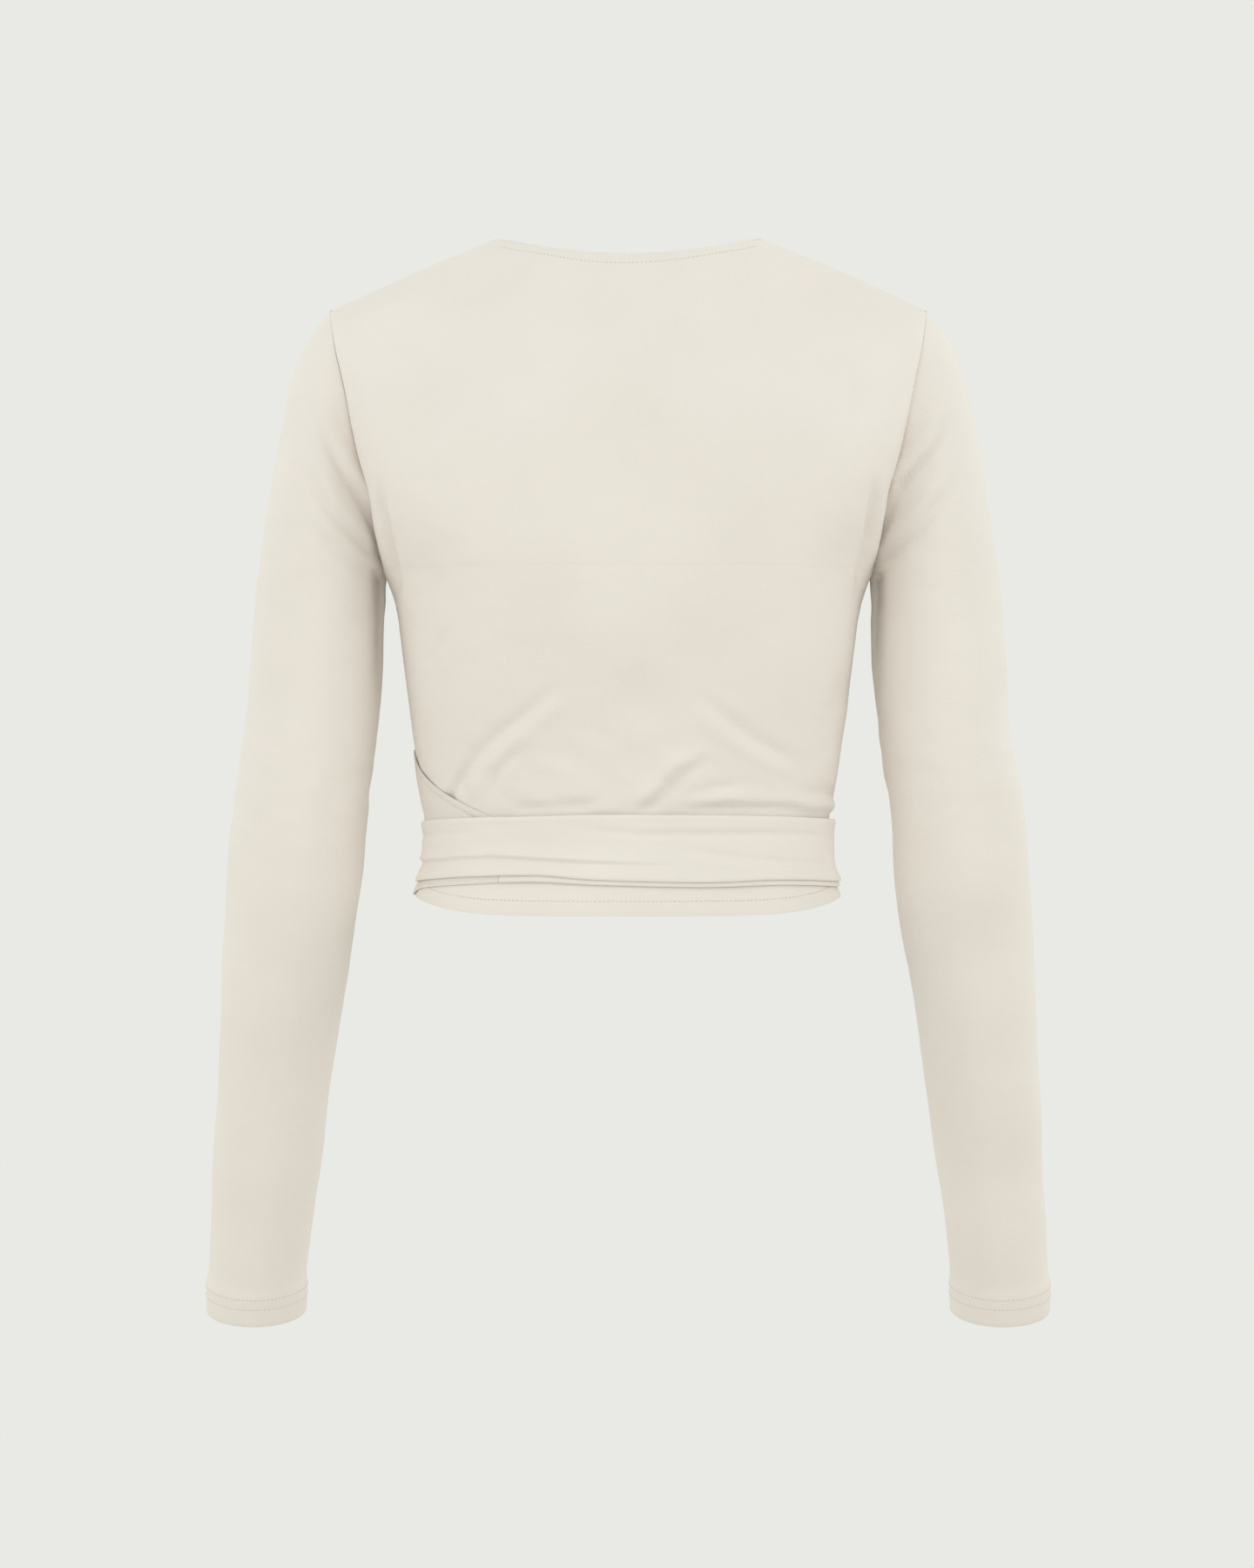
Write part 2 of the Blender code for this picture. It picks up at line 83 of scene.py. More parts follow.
# The body by height: half its width, and how deep it is in front and behind.
TORSO = [
    {"z": -413.0, "half": 129.5, FRONT: 95.0, BACK: 90.0},
    {"z": -399.0, "half": 129.0, FRONT: 93.0, BACK: 88.0},
    {"z": -389.0, "half": 124.8, FRONT: 90.0, BACK: 84.5},
    {"z": -379.0, "half": 121.6, FRONT: 87.0, BACK: 81.0},
    {"z": -366.0, "half": 121.0, FRONT: 85.0, BACK: 78.5},
    {"z": -351.0, "half": 122.0, FRONT: 85.0, BACK: 78.0},
    {"z": -342.0, "half": 124.0, FRONT: 86.5, BACK: 78.8},
    {"z": -326.0, "half": 127.0, FRONT: 89.5, BACK: 80.2},
    {"z": -305.0, "half": 130.2, FRONT: 94.0, BACK: 83.4},
    {"z": -280.0, "half": 133.6, FRONT: 100.0, BACK: 88.0},
    {"z": -252.0, "half": 137.2, FRONT: 105.0, BACK: 93.0},
    {"z": -226.0, "half": 140.6, FRONT: 109.0, BACK: 97.0},
    {"z": -201.0, "half": 146.5, FRONT: 111.0, BACK: 99.0},
]

# Half the width between the armholes, by the share of the way up to the shoulder seam.
ARMHOLE = [
    {"up": 0.0, "half": 146.5},
    {"up": 0.18, "half": 151.6},
    {"up": 0.45, "half": 163.2},
    {"up": 0.70, "half": 171.4},
    {"up": 0.85, "half": 177.2},
    {"up": 1.0, "half": 181.0},
]

# Sleeve rings from the armhole down: outer and inner point, middle in y, half depth and tilt.
SLEEVE_KEYS = ("out_x", "out_z", "in_x", "in_z", "y", "deep", "tilt")
SLEEVE_RINGS = [
    (181.0, -43.5, 146.5, -201.0, 0.0, 44.0, 0.0),
    (194.2, -61.0, 146.7, -202.5, 0.0, 46.0, 0.0),
    (205.5, -88.0, 146.9, -204.5, 0.0, 47.5, 0.0),
    (212.5, -122.0, 147.1, -207.0, 0.0, 48.0, 0.0),
    (219.0, -160.0, 147.3, -210.0, 0.0, 48.0, 0.0),
    (224.5, -199.0, 147.5, -214.0, 0.0, 47.5, 0.0),
    (227.4, -232.0, 147.8, -232.0, 1.0, 46.5, 0.0),
    (230.2, -258.0, 148.4, -258.0, 2.0, 46.0, 0.0),
    (231.6, -286.0, 150.8, -286.0, 3.5, 45.5, 0.0),
    (234.2, -312.0, 153.8, -312.0, 5.0, 45.0, 1.0),
    (238.6, -338.0, 157.2, -338.0, 6.0, 44.0, 2.0),
    (242.0, -362.0, 159.9, -362.0, 5.5, 43.0, 4.0),
    (243.8, -386.0, 161.8, -386.0, 3.0, 42.0, 8.0),
    (245.8, -412.0, 165.3, -412.0, -2.0, 40.5, 11.0),
    (248.0, -440.3, 170.3, -440.3, -8.5, 38.8, 13.0),
    (249.5, -470.7, 175.5, -470.7, -16.0, 37.0, 14.0),
    (251.4, -503.4, 180.8, -503.4, -24.0, 35.2, 15.0),
    (254.0, -538.3, 186.0, -538.3, -33.0, 33.8, 15.0),
    (256.1, -573.4, 191.2, -573.4, -42.0, 32.6, 15.0),
    (258.5, -606.5, 196.2, -606.5, -50.5, 31.4, 15.0),
    (260.3, -632.6, 199.5, -632.6, -57.0, 30.7, 15.0),
    (261.6, -638.9, 199.4, -638.9, -58.5, 31.1, 15.0),
    (261.7, -657.2, 200.2, -657.2, -63.1, 30.9, 15.0),
]
SLEEVE = [dict(zip(SLEEVE_KEYS, ring)) for ring in SLEEVE_RINGS]

# The tie round the waist, by the turn in degrees from the wearer's left side past the back.
BAND = [
    {"turn": 0.0, "top": -353.5, "bottom": -392.2, "under": -395.4},
    {"turn": 43.0, "top": -350.8, "bottom": -387.3, "under": -390.6},
    {"turn": 64.0, "top": -350.0, "bottom": -386.4, "under": -389.6},
    {"turn": 81.0, "top": -349.0, "bottom": -388.9, "under": -391.2},
    {"turn": 112.0, "top": -349.3, "bottom": -390.5, "under": -392.6},
    {"turn": 134.0, "top": -350.0, "bottom": -389.2, "under": -391.6},
    {"turn": 180.0, "top": -352.0, "bottom": -391.7, "under": -393.8},
    {"turn": 270.0, "top": -350.0, "bottom": -389.5, "under": -392.0},
    {"turn": 360.0, "top": -353.5, "bottom": -392.2, "under": -395.4},
]

# ---- creases: a line of (x, z) points, how wide and deep the trough is, and its raised lip -----
BACK_CREASES = [
    {"line": [(109, -347), (106, -337), (101, -327), (95, -319)],
     "wide": 3.2, "deep": 1.9, "lip": 0.0, "ends": (0.0, 0.6)},
    {"line": [(102, -340), (99, -328), (91, -315), (77, -302), (60, -289), (36, -268)],
     "wide": 5.0, "deep": 2.6, "lip": 0.7, "ends": (0.1, 0.5)},
    {"line": [(79, -336), (78, -325), (71, -317), (61, -310)],
     "wide": 3.0, "deep": 1.3, "lip": 0.5, "ends": (0.2, 0.5)},
    {"line": [(72, -346), (47, -345), (27, -344), (10, -340)],
     "wide": 3.6, "deep": 1.4, "lip": 0.4, "ends": (0.3, 0.4)},
    {"line": [(-7, -348), (-16, -342), (-23, -335), (-32, -325), (-52, -315)],
     "wide": 4.2, "deep": 2.1, "lip": -0.8, "ends": (0.15, 0.5)},
    {"line": [(-40, -276), (-58, -292), (-74, -304), (-89, -312), (-107, -320)],
     "wide": 5.0, "deep": 1.9, "lip": 0.7, "ends": (0.4, 0.3)},
    {"line": [(-36, -337), (-55, -333), (-73, -331)],
     "wide": 3.0, "deep": 1.2, "lip": 0.6, "ends": (0.4, 0.4)},
    {"line": [(-28, -347), (-61, -345), (-92, -346), (-122, -347)],
     "wide": 3.4, "deep": 1.7, "lip": -0.5, "ends": (0.3, 0.05)},
    {"line": [(121, -262), (113, -250), (105, -234)],
     "wide": 4.5, "deep": 1.0, "lip": 0.5, "ends": (0.2, 0.5)},
    {"line": [(-126, -336), (-115, -337), (-98, -337)],
     "wide": 5.0, "deep": 2.4, "lip": -0.8, "ends": (0.0, 0.5)},
    {"line": [(2, -262), (-7, -280), (-12, -300)],
     "wide": 14.0, "deep": 1.6, "lip": 0.0, "ends": (0.5, 0.5)},
    {"line": [(148, -150), (147, -166), (144, -183), (141, -198), (138, -222)],
     "wide": 3.0, "deep": 4.6, "lip": 0.5, "ends": (0.4, 0.4)},
    {"line": [(-146, -142), (-146, -165), (-144, -184), (-141, -200), (-137, -222)],
     "wide": 3.2, "deep": 4.4, "lip": -0.5, "ends": (0.5, 0.4)},
    {"line": [(-118, -300), (-124, -284), (-132, -262)],
     "wide": 6.0, "deep": 1.0, "lip": 0.5, "ends": (0.4, 0.4)},
]

FRONT_CREASES = [
    {"line": [(-96, -345), (-70, -330), (-38, -306), (-8, -276)],
     "wide": 5.0, "deep": 2.0, "lip": 0.7, "ends": (0.15, 0.5)},
    {"line": [(-60, -346), (-32, -336), (0, -316), (28, -288)],
     "wide": 4.5, "deep": 1.8, "lip": 0.7, "ends": (0.2, 0.5)},
    {"line": [(70, -347), (58, -334), (52, -316), (60, -290)],
     "wide": 4.0, "deep": 1.5, "lip": -0.6, "ends": (0.1, 0.5)},
    {"line": [(-112, -344), (-103, -322), (-98, -292), (-104, -262)],
     "wide": 5.0, "deep": 1.4, "lip": 0.5, "ends": (0.2, 0.5)},
    {"line": [(-147, -150), (-145, -168), (-141, -186), (-137, -212)],
     "wide": 5.5, "deep": 3.2, "lip": -0.5, "ends": (0.5, 0.5)},
    {"line": [(147, -150), (145, -168), (141, -186), (137, -212)],
     "wide": 5.5, "deep": 3.2, "lip": 0.5, "ends": (0.5, 0.5)},
    {"line": [(-138, -196), (-112, -188), (-84, -190)],
     "wide": 5.0, "deep": 0.9, "lip": 0.5, "ends": (0.4, 0.6)},
    {"line": [(136, -212), (118, -202), (96, -198)],
     "wide": 5.0, "deep": 0.9, "lip": -0.5, "ends": (0.3, 0.6)},
]

LEFT_SLEEVE_CREASES = [
    {"line": [(186, -116), (171, -144), (163, -156), (156, -168), (151, -183), (148, -198)],
     "wide": 4.0, "deep": 2.8, "lip": -0.6, "ends": (0.4, 0.1)},
    {"line": [(194, -140), (183, -161), (174, -173), (162, -185), (151, -197)],
     "wide": 4.2, "deep": 2.2, "lip": -0.6, "ends": (0.35, 0.2)},
    {"line": [(196, -172), (184, -184), (168, -196), (152, -206)],
     "wide": 5.5, "deep": 1.3, "lip": -0.5, "ends": (0.5, 0.2)},
]

RIGHT_SLEEVE_CREASES = [
    {"line": [(-196, -108), (-182, -128), (-173, -138), (-160, -153)],
     "wide": 4.0, "deep": 2.6, "lip": 0.6, "ends": (0.35, 0.1)},
    {"line": [(-198, -142), (-190, -158), (-178, -173), (-168, -182), (-151, -196)],
     "wide": 5.0, "deep": 2.4, "lip": 0.6, "ends": (0.4, 0.1)},
    {"line": [(-160, -160), (-154, -174), (-150, -190)],
     "wide": 4.0, "deep": 1.8, "lip": 0.5, "ends": (0.4, 0.2)},
]

BAND_CREASES = [
    {"line": [(-34, -379), (-3, -378), (28, -377), (46, -376),
              (63, -375), (81, -374), (99, -375), (130, -378)],
     "wide": 5.0, "deep": 1.4, "lip": 1.2, "ends": (0.4, 0.0), "folded": True},
    {"line": [(-30, -370), (-57, -374), (-76, -376), (-97, -378), (-122, -379)],
     "wide": 3.2, "deep": 0.9, "lip": 0.5, "ends": (0.3, 0.1)},
    {"line": [(42, -356), (28, -358), (-8, -361), (-57, -361), (-95, -361), (-124, -362)],
     "wide": 3.0, "deep": 0.8, "lip": -0.4, "ends": (0.4, 0.1)},
    {"line": [(128, -363), (110, -361), (88, -360)],
     "wide": 2.6, "deep": 0.6, "lip": 0.5, "ends": (0.1, 0.5)},
]

BAND_FRONT_CREASES = [
    {"line": [(-118, -366), (-80, -368), (-36, -366), (20, -370)],
     "wide": 2.2, "deep": 1.2, "lip": 0.7, "ends": (0.3, 0.05)},
    {"line": [(-70, -378), (-30, -377), (20, -372)],
     "wide": 2.4, "deep": 1.0, "lip": -0.6, "ends": (0.4, 0.05)},
    {"line": [(46, -370), (76, -366), (116, -368)],
     "wide": 2.4, "deep": 1.2, "lip": 0.7, "ends": (0.05, 0.4)},
]

# The creases of the outer front that run on over the inner one are those beside the left seam.
LEFT_FRONT_CREASES = [crease for crease in FRONT_CREASES if crease["line"][0][0] > 100]

# The fold of slack cloth below the underarm, by height: its edge in x and how flat it is pressed.
FOLD_Z = [-330, -260, -222, -204]
FOLD_EDGE = [150.2, 152.7, 153.2, 153.7]
PRESSED_Z = [-345, -290, -240, -208, -201]
PRESSED = [0.0, 0.4, 0.78, 0.8, 0.0]

# Turned edges: how wide the turned cloth is, and how far from the edge the stitches run.
NECK_TURN, NECK_ROW = 14.0, 13.0
HEM_TURN, HEM_ROW = 10.0, 9.0
EDGE_TURN, EDGE_ROW = 5.0, 4.2
CUFF_TURN, CUFF_ROWS = 21.0, (11.4, 17.6)
FURROW_DEEP, FURROW_WIDE = 0.13, 0.8
NECK_FURROW = 2.6           # the neck's stitches pull in harder than the hem's


# ---- the body's surface -----------------------------------------------------------------------
def smooth(table, key, value, at):
    """A monotone cubic through a table's rows, at any number of places."""
    rows = sorted(table, key=lambda row: row[key])
    xs = np.array([row[key] for row in rows], float)
    ys = np.array([row[value] for row in rows], float)
    slopes = np.diff(ys) / np.diff(xs)
    tangents = np.zeros(len(xs))
    tangents[0], tangents[-1] = slopes[0], slopes[-1]
    product = slopes[:-1] * slopes[1:]
    total = np.where(product > 0, slopes[:-1] + slopes[1:], 1.0)
    tangents[1:-1] = np.where(product > 0, 2 * product / total, 0.0)
    at = np.clip(at, xs[0], xs[-1])
    i = np.clip(np.searchsorted(xs, at, side="right") - 1, 0, len(xs) - 2)
    width = xs[i + 1] - xs[i]
    t = (at - xs[i]) / width
    return (
        (2 * t**3 - 3 * t**2 + 1) * ys[i]
        + (t**3 - 2 * t**2 + t) * width * tangents[i]
        + (3 * t**2 - 2 * t**3) * ys[i + 1]
        + (t**3 - t**2) * width * tangents[i + 1]
    )


def bulge(across):
    """The body's depth at a share of its half width, where the middle is 1."""
    return np.maximum(0.0, 1 - np.abs(across) ** SQUARENESS) ** (1 / SQUARENESS)


def body(across, z, side):
    """The body's surface below the underarm."""
    depth = smooth(TORSO, "z", side, z) * bulge(across)
    return np.stack([across * smooth(TORSO, "z", "half", z), side * depth, z], -1)


def top_height(across, side):
    """How high the cloth ends: the shoulder seam, or the neck edge between the neck points."""
    half = np.abs(across) * TIP_HALF
    t = np.maximum(0.0, half - NECK_HALF) / (TIP_HALF - NECK_HALF)
    shoulder = TIP_Z * (0.88 * t + 0.12 * t * t)
    drop = NECK_BACK_DROP if side == BACK else 0.0
    return np.where(half >= NECK_HALF, shoulder, -drop * (1 - (half / NECK_HALF) ** 2))


def chest(across, up, side):
    """The body's surface from the underarm, where up is 0, to the shoulder and neck, where it is 1."""
    half = smooth(ARMHOLE, "up", "half", up)
    z = UNDERARM_Z + (top_height(across, side) - UNDERARM_Z) * up
    rim = NECK_DEPTH * np.maximum(0.0, 1 - (across / NECK) ** 2) ** 0.6
    root = smooth(TORSO, "z", side, np.full_like(across, UNDERARM_Z)) * bulge(across)
    rounding = (1 - up**2.6) ** 0.62 if side == BACK else (1 - up**1.9) ** 0.7
    depth = rim + (root - rim) * rounding
    depth += 2 * ARMHOLE_DEPTH * np.sqrt(np.maximum(0.0, up * (1 - up))) * np.abs(across) ** 5
    return np.stack([across * half, side * depth, z], -1)


def hem_dip(across, level, side):
    """How far the cloth hangs below its level near the hem, most in the middle."""
    return HEM_DIP[side] * (1 - across**6) * np.maximum(0.0, 1 - level / HEM_ZONE) ** 2


def panel(across, level, side):
    """The body's surface. level is 0 at the hem, 1 at the underarm and 2 on the shoulder seam."""
    across, level = np.broadcast_arrays(np.asarray(across, float), np.asarray(level, float))
    height = HEM_Z + (UNDERARM_Z - HEM_Z) * np.minimum(level, 1.0)
    low = body(across, height - hem_dip(across, level, side), side)
    high = chest(across, np.clip(level - 1, 0.0, 1.0), side)
    return np.where((level > 1)[..., None], high, low)


def lifted(across, level, side, height):
    """The body's surface moved out by height, square to the cloth."""
    u = np.clip(across, -0.985, 0.985)
    v = np.clip(level, 0.01, 1.9)
    step = 0.004
    along = panel(u + step, v, side) - panel(u - step, v, side)
    up = panel(u, v + step, side) - panel(u, v - step, side)
    normal = np.cross(along, up)
    normal /= np.maximum(np.linalg.norm(normal, axis=-1, keepdims=True), 1e-9)
    here = panel(u, v, side)
    inward = np.sum(normal[..., :2] * here[..., :2], -1) < 0
    normal[inward] *= -1
    return panel(across, level, side) + np.asarray(height)[..., None] * normal


def crossing(across):
    """How far the outer front lies off the body: nothing at the right seam, a layer at the left."""
    return LAYER * (1 + across) / 2


def free_edge(across):
    """The level of front_right's upper edge: the shoulder, then the crossing edge."""
    side = level_of(WRAP_SIDE_Z)
    share = np.clip((1 - across) / (1 + NECK), 0.0, 1.0)
    return np.where(across <= -NECK, 2.0, side + (2 - side) * share**WRAP_CURVE)


def level_of(z):
    """The level of a height, where the hem doesn't dip."""
    return (z - HEM_Z) / (UNDERARM_Z - HEM_Z)


def level_at(across, z, side):
    """The level at which the cloth is at height z, near the dipping hem too."""
    level = level_of(z)
    for _ in range(12):
        level = level_of(z + hem_dip(across, level, side))
    return level


# ---- stations ---------------------------------------------------------------------------------
def across_stations(count):
    """Even turns from the right side seam to the left, closer beside both seams."""
    edge = np.array([0.0, 0.25, 0.55, 0.95, 1.5])
    turns = np.concatenate([edge, np.linspace(2.2, 177.8, count), 180 - edge[::-1]])
    return -np.cos(np.radians(turns))


def level_stations(count_low, count_high):
    """Even levels below the underarm and even turns above, closer beside hem and shoulder."""
    low = np.linspace(0.0, 1.0, count_low)
    hem = np.array([0.002, 0.005, 0.009])
    turns = np.linspace(0.0, 1.0, count_high)[1:]
    high = 1 + 0.5 * turns + 0.25 * (1 - np.cos(np.pi * turns))
    return np.unique(np.concatenate([low, hem, high, [1.9997, 1.9985, 1.996, 1.992, 1.986]]))


# ---- cloth details ----------------------------------------------------------------------------
def eased(grid, mask, passes, axis):
    """The grid drawn soft along one axis where the mask is above 0."""
    for _ in range(passes):
        step = np.roll(grid, 1, axis) + np.roll(grid, -1, axis) - 2 * grid
        grid = grid + 0.25 * mask[..., None] * step
    return grid


def eased_panel(grid, across, level):
    """Eases the lines where the armhole's height starts and where the neck ends."""
    away = edge_distances(grid)
    inside = np.minimum(np.minimum(away["first"], away["last"]), away["top"])
    underarm = np.clip(1.6 - np.abs(level - 1) / 0.13, 0.0, 1.0) * np.clip(inside / 12 - 0.2, 0.0, 1.0)
    grid = eased(grid, underarm, 70, 0)
    neck = np.clip(1.6 - np.abs(np.abs(across) - NECK) / 0.14, 0.0, 1.0)
    neck = neck * np.clip(inside / 8 - 0.15, 0.0, 1.0) * np.clip((level - 1.05) * 5, 0.0, 1.0)
    return eased(grid, neck, 40, 1)


def unit_normals(grid, closed=False):
    """The outward direction at each point. A closed grid's last column meets its first."""
    along = np.roll(grid, -1, 1) - np.roll(grid, 1, 1) if closed else np.gradient(grid, axis=1)
    normals = np.cross(along, np.gradient(grid, axis=0))
    return normals / np.maximum(np.linalg.norm(normals, axis=2, keepdims=True), 1e-9)


def closed_up(grid):
    """A tube's grid with its first column once more at the end."""
    return np.concatenate([grid, grid[:, :1]], 1)


def run_lengths(grid, axis):
    """The way along the cloth from the first row or column, in millimetres."""
    steps = np.linalg.norm(np.diff(grid, axis=axis), axis=2)
    pad = ((1, 0), (0, 0)) if axis == 0 else ((0, 0), (1, 0))
    return np.pad(np.cumsum(steps, axis=axis), pad)


def edge_distances(grid):
    """How far each point is from each of the grid's four edges, along the cloth."""
    up, along = run_lengths(grid, 0), run_lengths(grid, 1)
    return {"bottom": up, "top": up[-1:] - up, "first": along, "last": along[:, -1:] - along}


def furrow(distance, at):
    """The slight furrow that a row of stitches draws in the cloth."""
    return -FURROW_DEEP * np.exp(-(((distance - at) / FURROW_WIDE) ** 2))


def roll_in(distance, depth=0.22, reach=1.2):
    """A sewn edge, drawn down into its seam."""
    return -depth * np.clip(1 - distance / reach, 0.0, 1.0) ** 2


def turned(distance, width, rise=0.35):
    """A turned edge: a little thicker than the cloth, soft at both sides."""
    inner = 1 / (1 + np.exp(-np.clip((width - distance) / 0.5, -30, 30)))
    rim = np.clip(distance / 1.0, 0.0, 1.0) ** 0.5
    return rise * inner * rim - 0.25 * np.exp(-(((distance - width - 0.8) / 0.9) ** 2))


CREASE_WIDTH, CREASE_DEPTH = 0.85, 1.15     # what the lists' widths and depths are multiplied by


def stroke(points, crease):
    """How far one crease moves each point of (x, z), down its trough and up its lip."""
    line = np.array(crease["line"], float)
    steps = np.linalg.norm(np.diff(line, axis=0), axis=1)
    starts = np.concatenate([[0.0], np.cumsum(steps)])
    best = np.full(points.shape[:-1], 1e9)
    side = np.zeros_like(best)
    way = np.zeros_like(best)
    for k in range(len(steps)):
        direction = (line[k + 1] - line[k]) / steps[k]
        offset = points - line[k]
        t = offset @ direction
        clipped = np.clip(t, 0.0, steps[k])
        away = offset - clipped[..., None] * direction
        distance = np.linalg.norm(away, axis=-1)
        nearer = distance < best
        best = np.where(nearer, distance, best)
        across = direction[0] * away[..., 1] - direction[1] * away[..., 0]
        side = np.where(nearer, np.sign(across) * distance, side)
        way = np.where(nearer, (starts[k] + clipped) / starts[-1], way)
    first, last = crease["ends"]
    fade = np.ones_like(way)
    if first > 0:
        fade = fade * np.sin(np.clip(way / first, 0.0, 1.0) * np.pi / 2) ** 1.3
    if last > 0:
        fade = fade * np.sin(np.clip((1 - way) / last, 0.0, 1.0) * np.pi / 2) ** 1.3
    wide, lip = CREASE_WIDTH * crease["wide"], crease["lip"]
    if crease.get("folded"):
        share = 1 / (1 + np.exp(-np.clip(side / 0.36, -40, 40)))
        above = lip * np.exp(-np.maximum(side, 0.0) / wide)
        below = -np.exp(np.minimum(side, 0.0) / (0.6 * wide))
        return crease["deep"] * fade * (above * share + below * (1 - share)) * (best < 6 * wide)
    trough = -np.exp(-((best / wide) ** 2))
    raised = abs(lip) * np.exp(-(((side * np.sign(lip + 1e-9) - 1.9 * wide) / (1.4 * wide)) ** 2))
    return CREASE_DEPTH * crease["deep"] * fade * (trough + raised * (best < 6 * wide))


def creases_on(grid, creases, mask):
    """All the creases of a list together, where the mask lets them show."""
    total = np.zeros(grid.shape[:2])
    for crease in creases:
        total += stroke(grid[..., [0, 2]], crease)
    return total * mask


def facing(normals, side, start=0.5):
    """1 on the side that faces back or front, fading out round the sides."""
    return np.clip(start + 2.2 * side * normals[..., 1], 0.0, 1.0)


SWELLS = 9


def unevenness(grid, amount, seed, longest=120.0, lean=(1.0, 1.0, 1.0)):
    """Slow, small swells, so that no stretch of cloth is quite even."""
    random = np.random.default_rng(seed)
    total = np.zeros(grid.shape[:2])
    for _ in range(SWELLS):
        wave = random.normal(0.0, 1.0, 3) * np.array(lean)
        wave *= 2 * np.pi / random.uniform(0.4 * longest, longest) / np.linalg.norm(wave)
        total += np.sin(grid @ wave + random.uniform(0, 2 * np.pi))
    return total * amount / SWELLS**0.5


RUMPLED_WAIST_Z, RUMPLED_ARM_Z = -330.0, -196.0


def small_wrinkles(grid, seed):
    """Fine rumples, strongest just above the tie and at the underarm."""
    x, z = np.abs(grid[..., 0]), grid[..., 2]
    waist = np.exp(-(((z - RUMPLED_WAIST_Z) / 34.0) ** 2))
    arm = np.exp(-(((z - RUMPLED_ARM_Z) / 40.0) ** 2)) * np.clip((x - 80) / 60, 0.0, 1.0)
    fine = unevenness(grid, 1.0, seed, 26.0, (0.7, 1.0, 1.3))
    broad = unevenness(grid, 1.0, seed + 1, 48.0, (0.8, 1.0, 1.2))
    return (0.05 + 0.13 * waist + 0.10 * arm) * fine + (0.08 + 0.30 * waist + 0.22 * arm) * broad


# ---- materials --------------------------------------------------------------------------------
def new_material(name):
    material = bpy.data.materials.new(name)
    material.use_nodes = True
    return material, material.node_tree.nodes, material.node_tree.links


WALE, COURSE = 1.1, 1.5         # the knit's columns and rows, in millimetres
WAVE_LENGTH = 2 * math.pi / 20  # of a wave texture whose scale is 1


def jersey_material():
    """Cream single jersey: fine wales and courses on the cloth's own map, and a soft sheen."""
    material, nodes, links = new_material("cream_jersey")
    shader = nodes["Principled BSDF"]
    shader.inputs["Roughness"].default_value = 0.86
    shader.inputs["Specular IOR Level"].default_value = 0.25
    shader.inputs["Sheen Weight"].default_value = 0.22
    shader.inputs["Sheen Roughness"].default_value = 0.45
    shader.inputs["Sheen Tint"].default_value = (1.0, 0.97, 0.92, 1.0)

    place = nodes.new("ShaderNodeTexCoord")
    cloud = nodes.new("ShaderNodeTexNoise")
    cloud.inputs["Scale"].default_value = 14.0
    cloud.inputs["Detail"].default_value = 4.0
    links.new(place.outputs["Object"], cloud.inputs["Vector"])
    tint = nodes.new("ShaderNodeValToRGB")
    tint.color_ramp.elements[0].position = 0.3
    tint.color_ramp.elements[0].color = (0.798, 0.752, 0.700, 1.0)
    tint.color_ramp.elements[1].position = 0.7
    tint.color_ramp.elements[1].color = (0.828, 0.782, 0.732, 1.0)
    links.new(cloud.outputs["Fac"], tint.inputs["Fac"])
    links.new(tint.outputs["Color"], shader.inputs["Base Color"])

    uv = nodes.new("ShaderNodeUVMap")
    uv.uv_map = "cloth"
    heights = []
    for direction, spacing, distortion in (("X", WALE, 0.6), ("Y", COURSE, 1.6)):
        wave = nodes.new("ShaderNodeTexWave")
        wave.bands_direction = direction
        wave.inputs["Scale"].default_value = WAVE_LENGTH / (spacing * MM)
        wave.inputs["Distortion"].default_value = distortion
        wave.inputs["Detail"].default_value = 1.0
        links.new(uv.outputs["UV"], wave.inputs["Vector"])
        heights.append(wave)
    fuzz = nodes.new("ShaderNodeTexNoise")
    fuzz.inputs["Scale"].default_value = 900.0
    fuzz.inputs["Detail"].default_value = 3.0
    links.new(uv.outputs["UV"], fuzz.inputs["Vector"])
    knit = nodes.new("ShaderNodeMath")
    knit.operation = "MULTIPLY"
    links.new(heights[0].outputs["Fac"], knit.inputs[0])
    links.new(heights[1].outputs["Fac"], knit.inputs[1])
    relief = nodes.new("ShaderNodeMath")
    relief.operation = "ADD"
    links.new(knit.outputs["Value"], relief.inputs[0])
    links.new(fuzz.outputs["Fac"], relief.inputs[1])
    bump = nodes.new("ShaderNodeBump")
    bump.inputs["Strength"].default_value = 0.5
    bump.inputs["Distance"].default_value = 0.00012
    links.new(relief.outputs["Value"], bump.inputs["Height"])
    links.new(bump.outputs["Normal"], shader.inputs["Normal"])
    return material


def thread_material():
    """Cream thread, painted a little darker than the cloth: the darker tone is painted shade along the
    stitches, so that the rows of stitches show.
    """
    material, nodes, links = new_material("cream_thread")
    shader = nodes["Principled BSDF"]
    shader.inputs["Roughness"].default_value = 0.55
    shader.inputs["Sheen Weight"].default_value = 0.15
    place = nodes.new("ShaderNodeTexCoord")
    ply = nodes.new("ShaderNodeTexNoise")
    ply.inputs["Scale"].default_value = 1500.0
    links.new(place.outputs["Object"], ply.inputs["Vector"])
    # The ramp's darker cream is painted shade that stands in for the shade at the stitches; the ply
    # noise only varies it.
    tint = nodes.new("ShaderNodeValToRGB")
    tint.color_ramp.elements[0].color = (0.63, 0.57, 0.49, 1.0)
    tint.color_ramp.elements[1].color = (0.76, 0.71, 0.63, 1.0)
    links.new(ply.outputs["Fac"], tint.inputs["Fac"])
    links.new(tint.outputs["Color"], shader.inputs["Base Color"])
    return material


JERSEY = jersey_material()
THREAD = thread_material()


# ---- making pieces ----------------------------------------------------------------------------
CLOTH_THICK, TIE_THICK = 1.0, 1.3


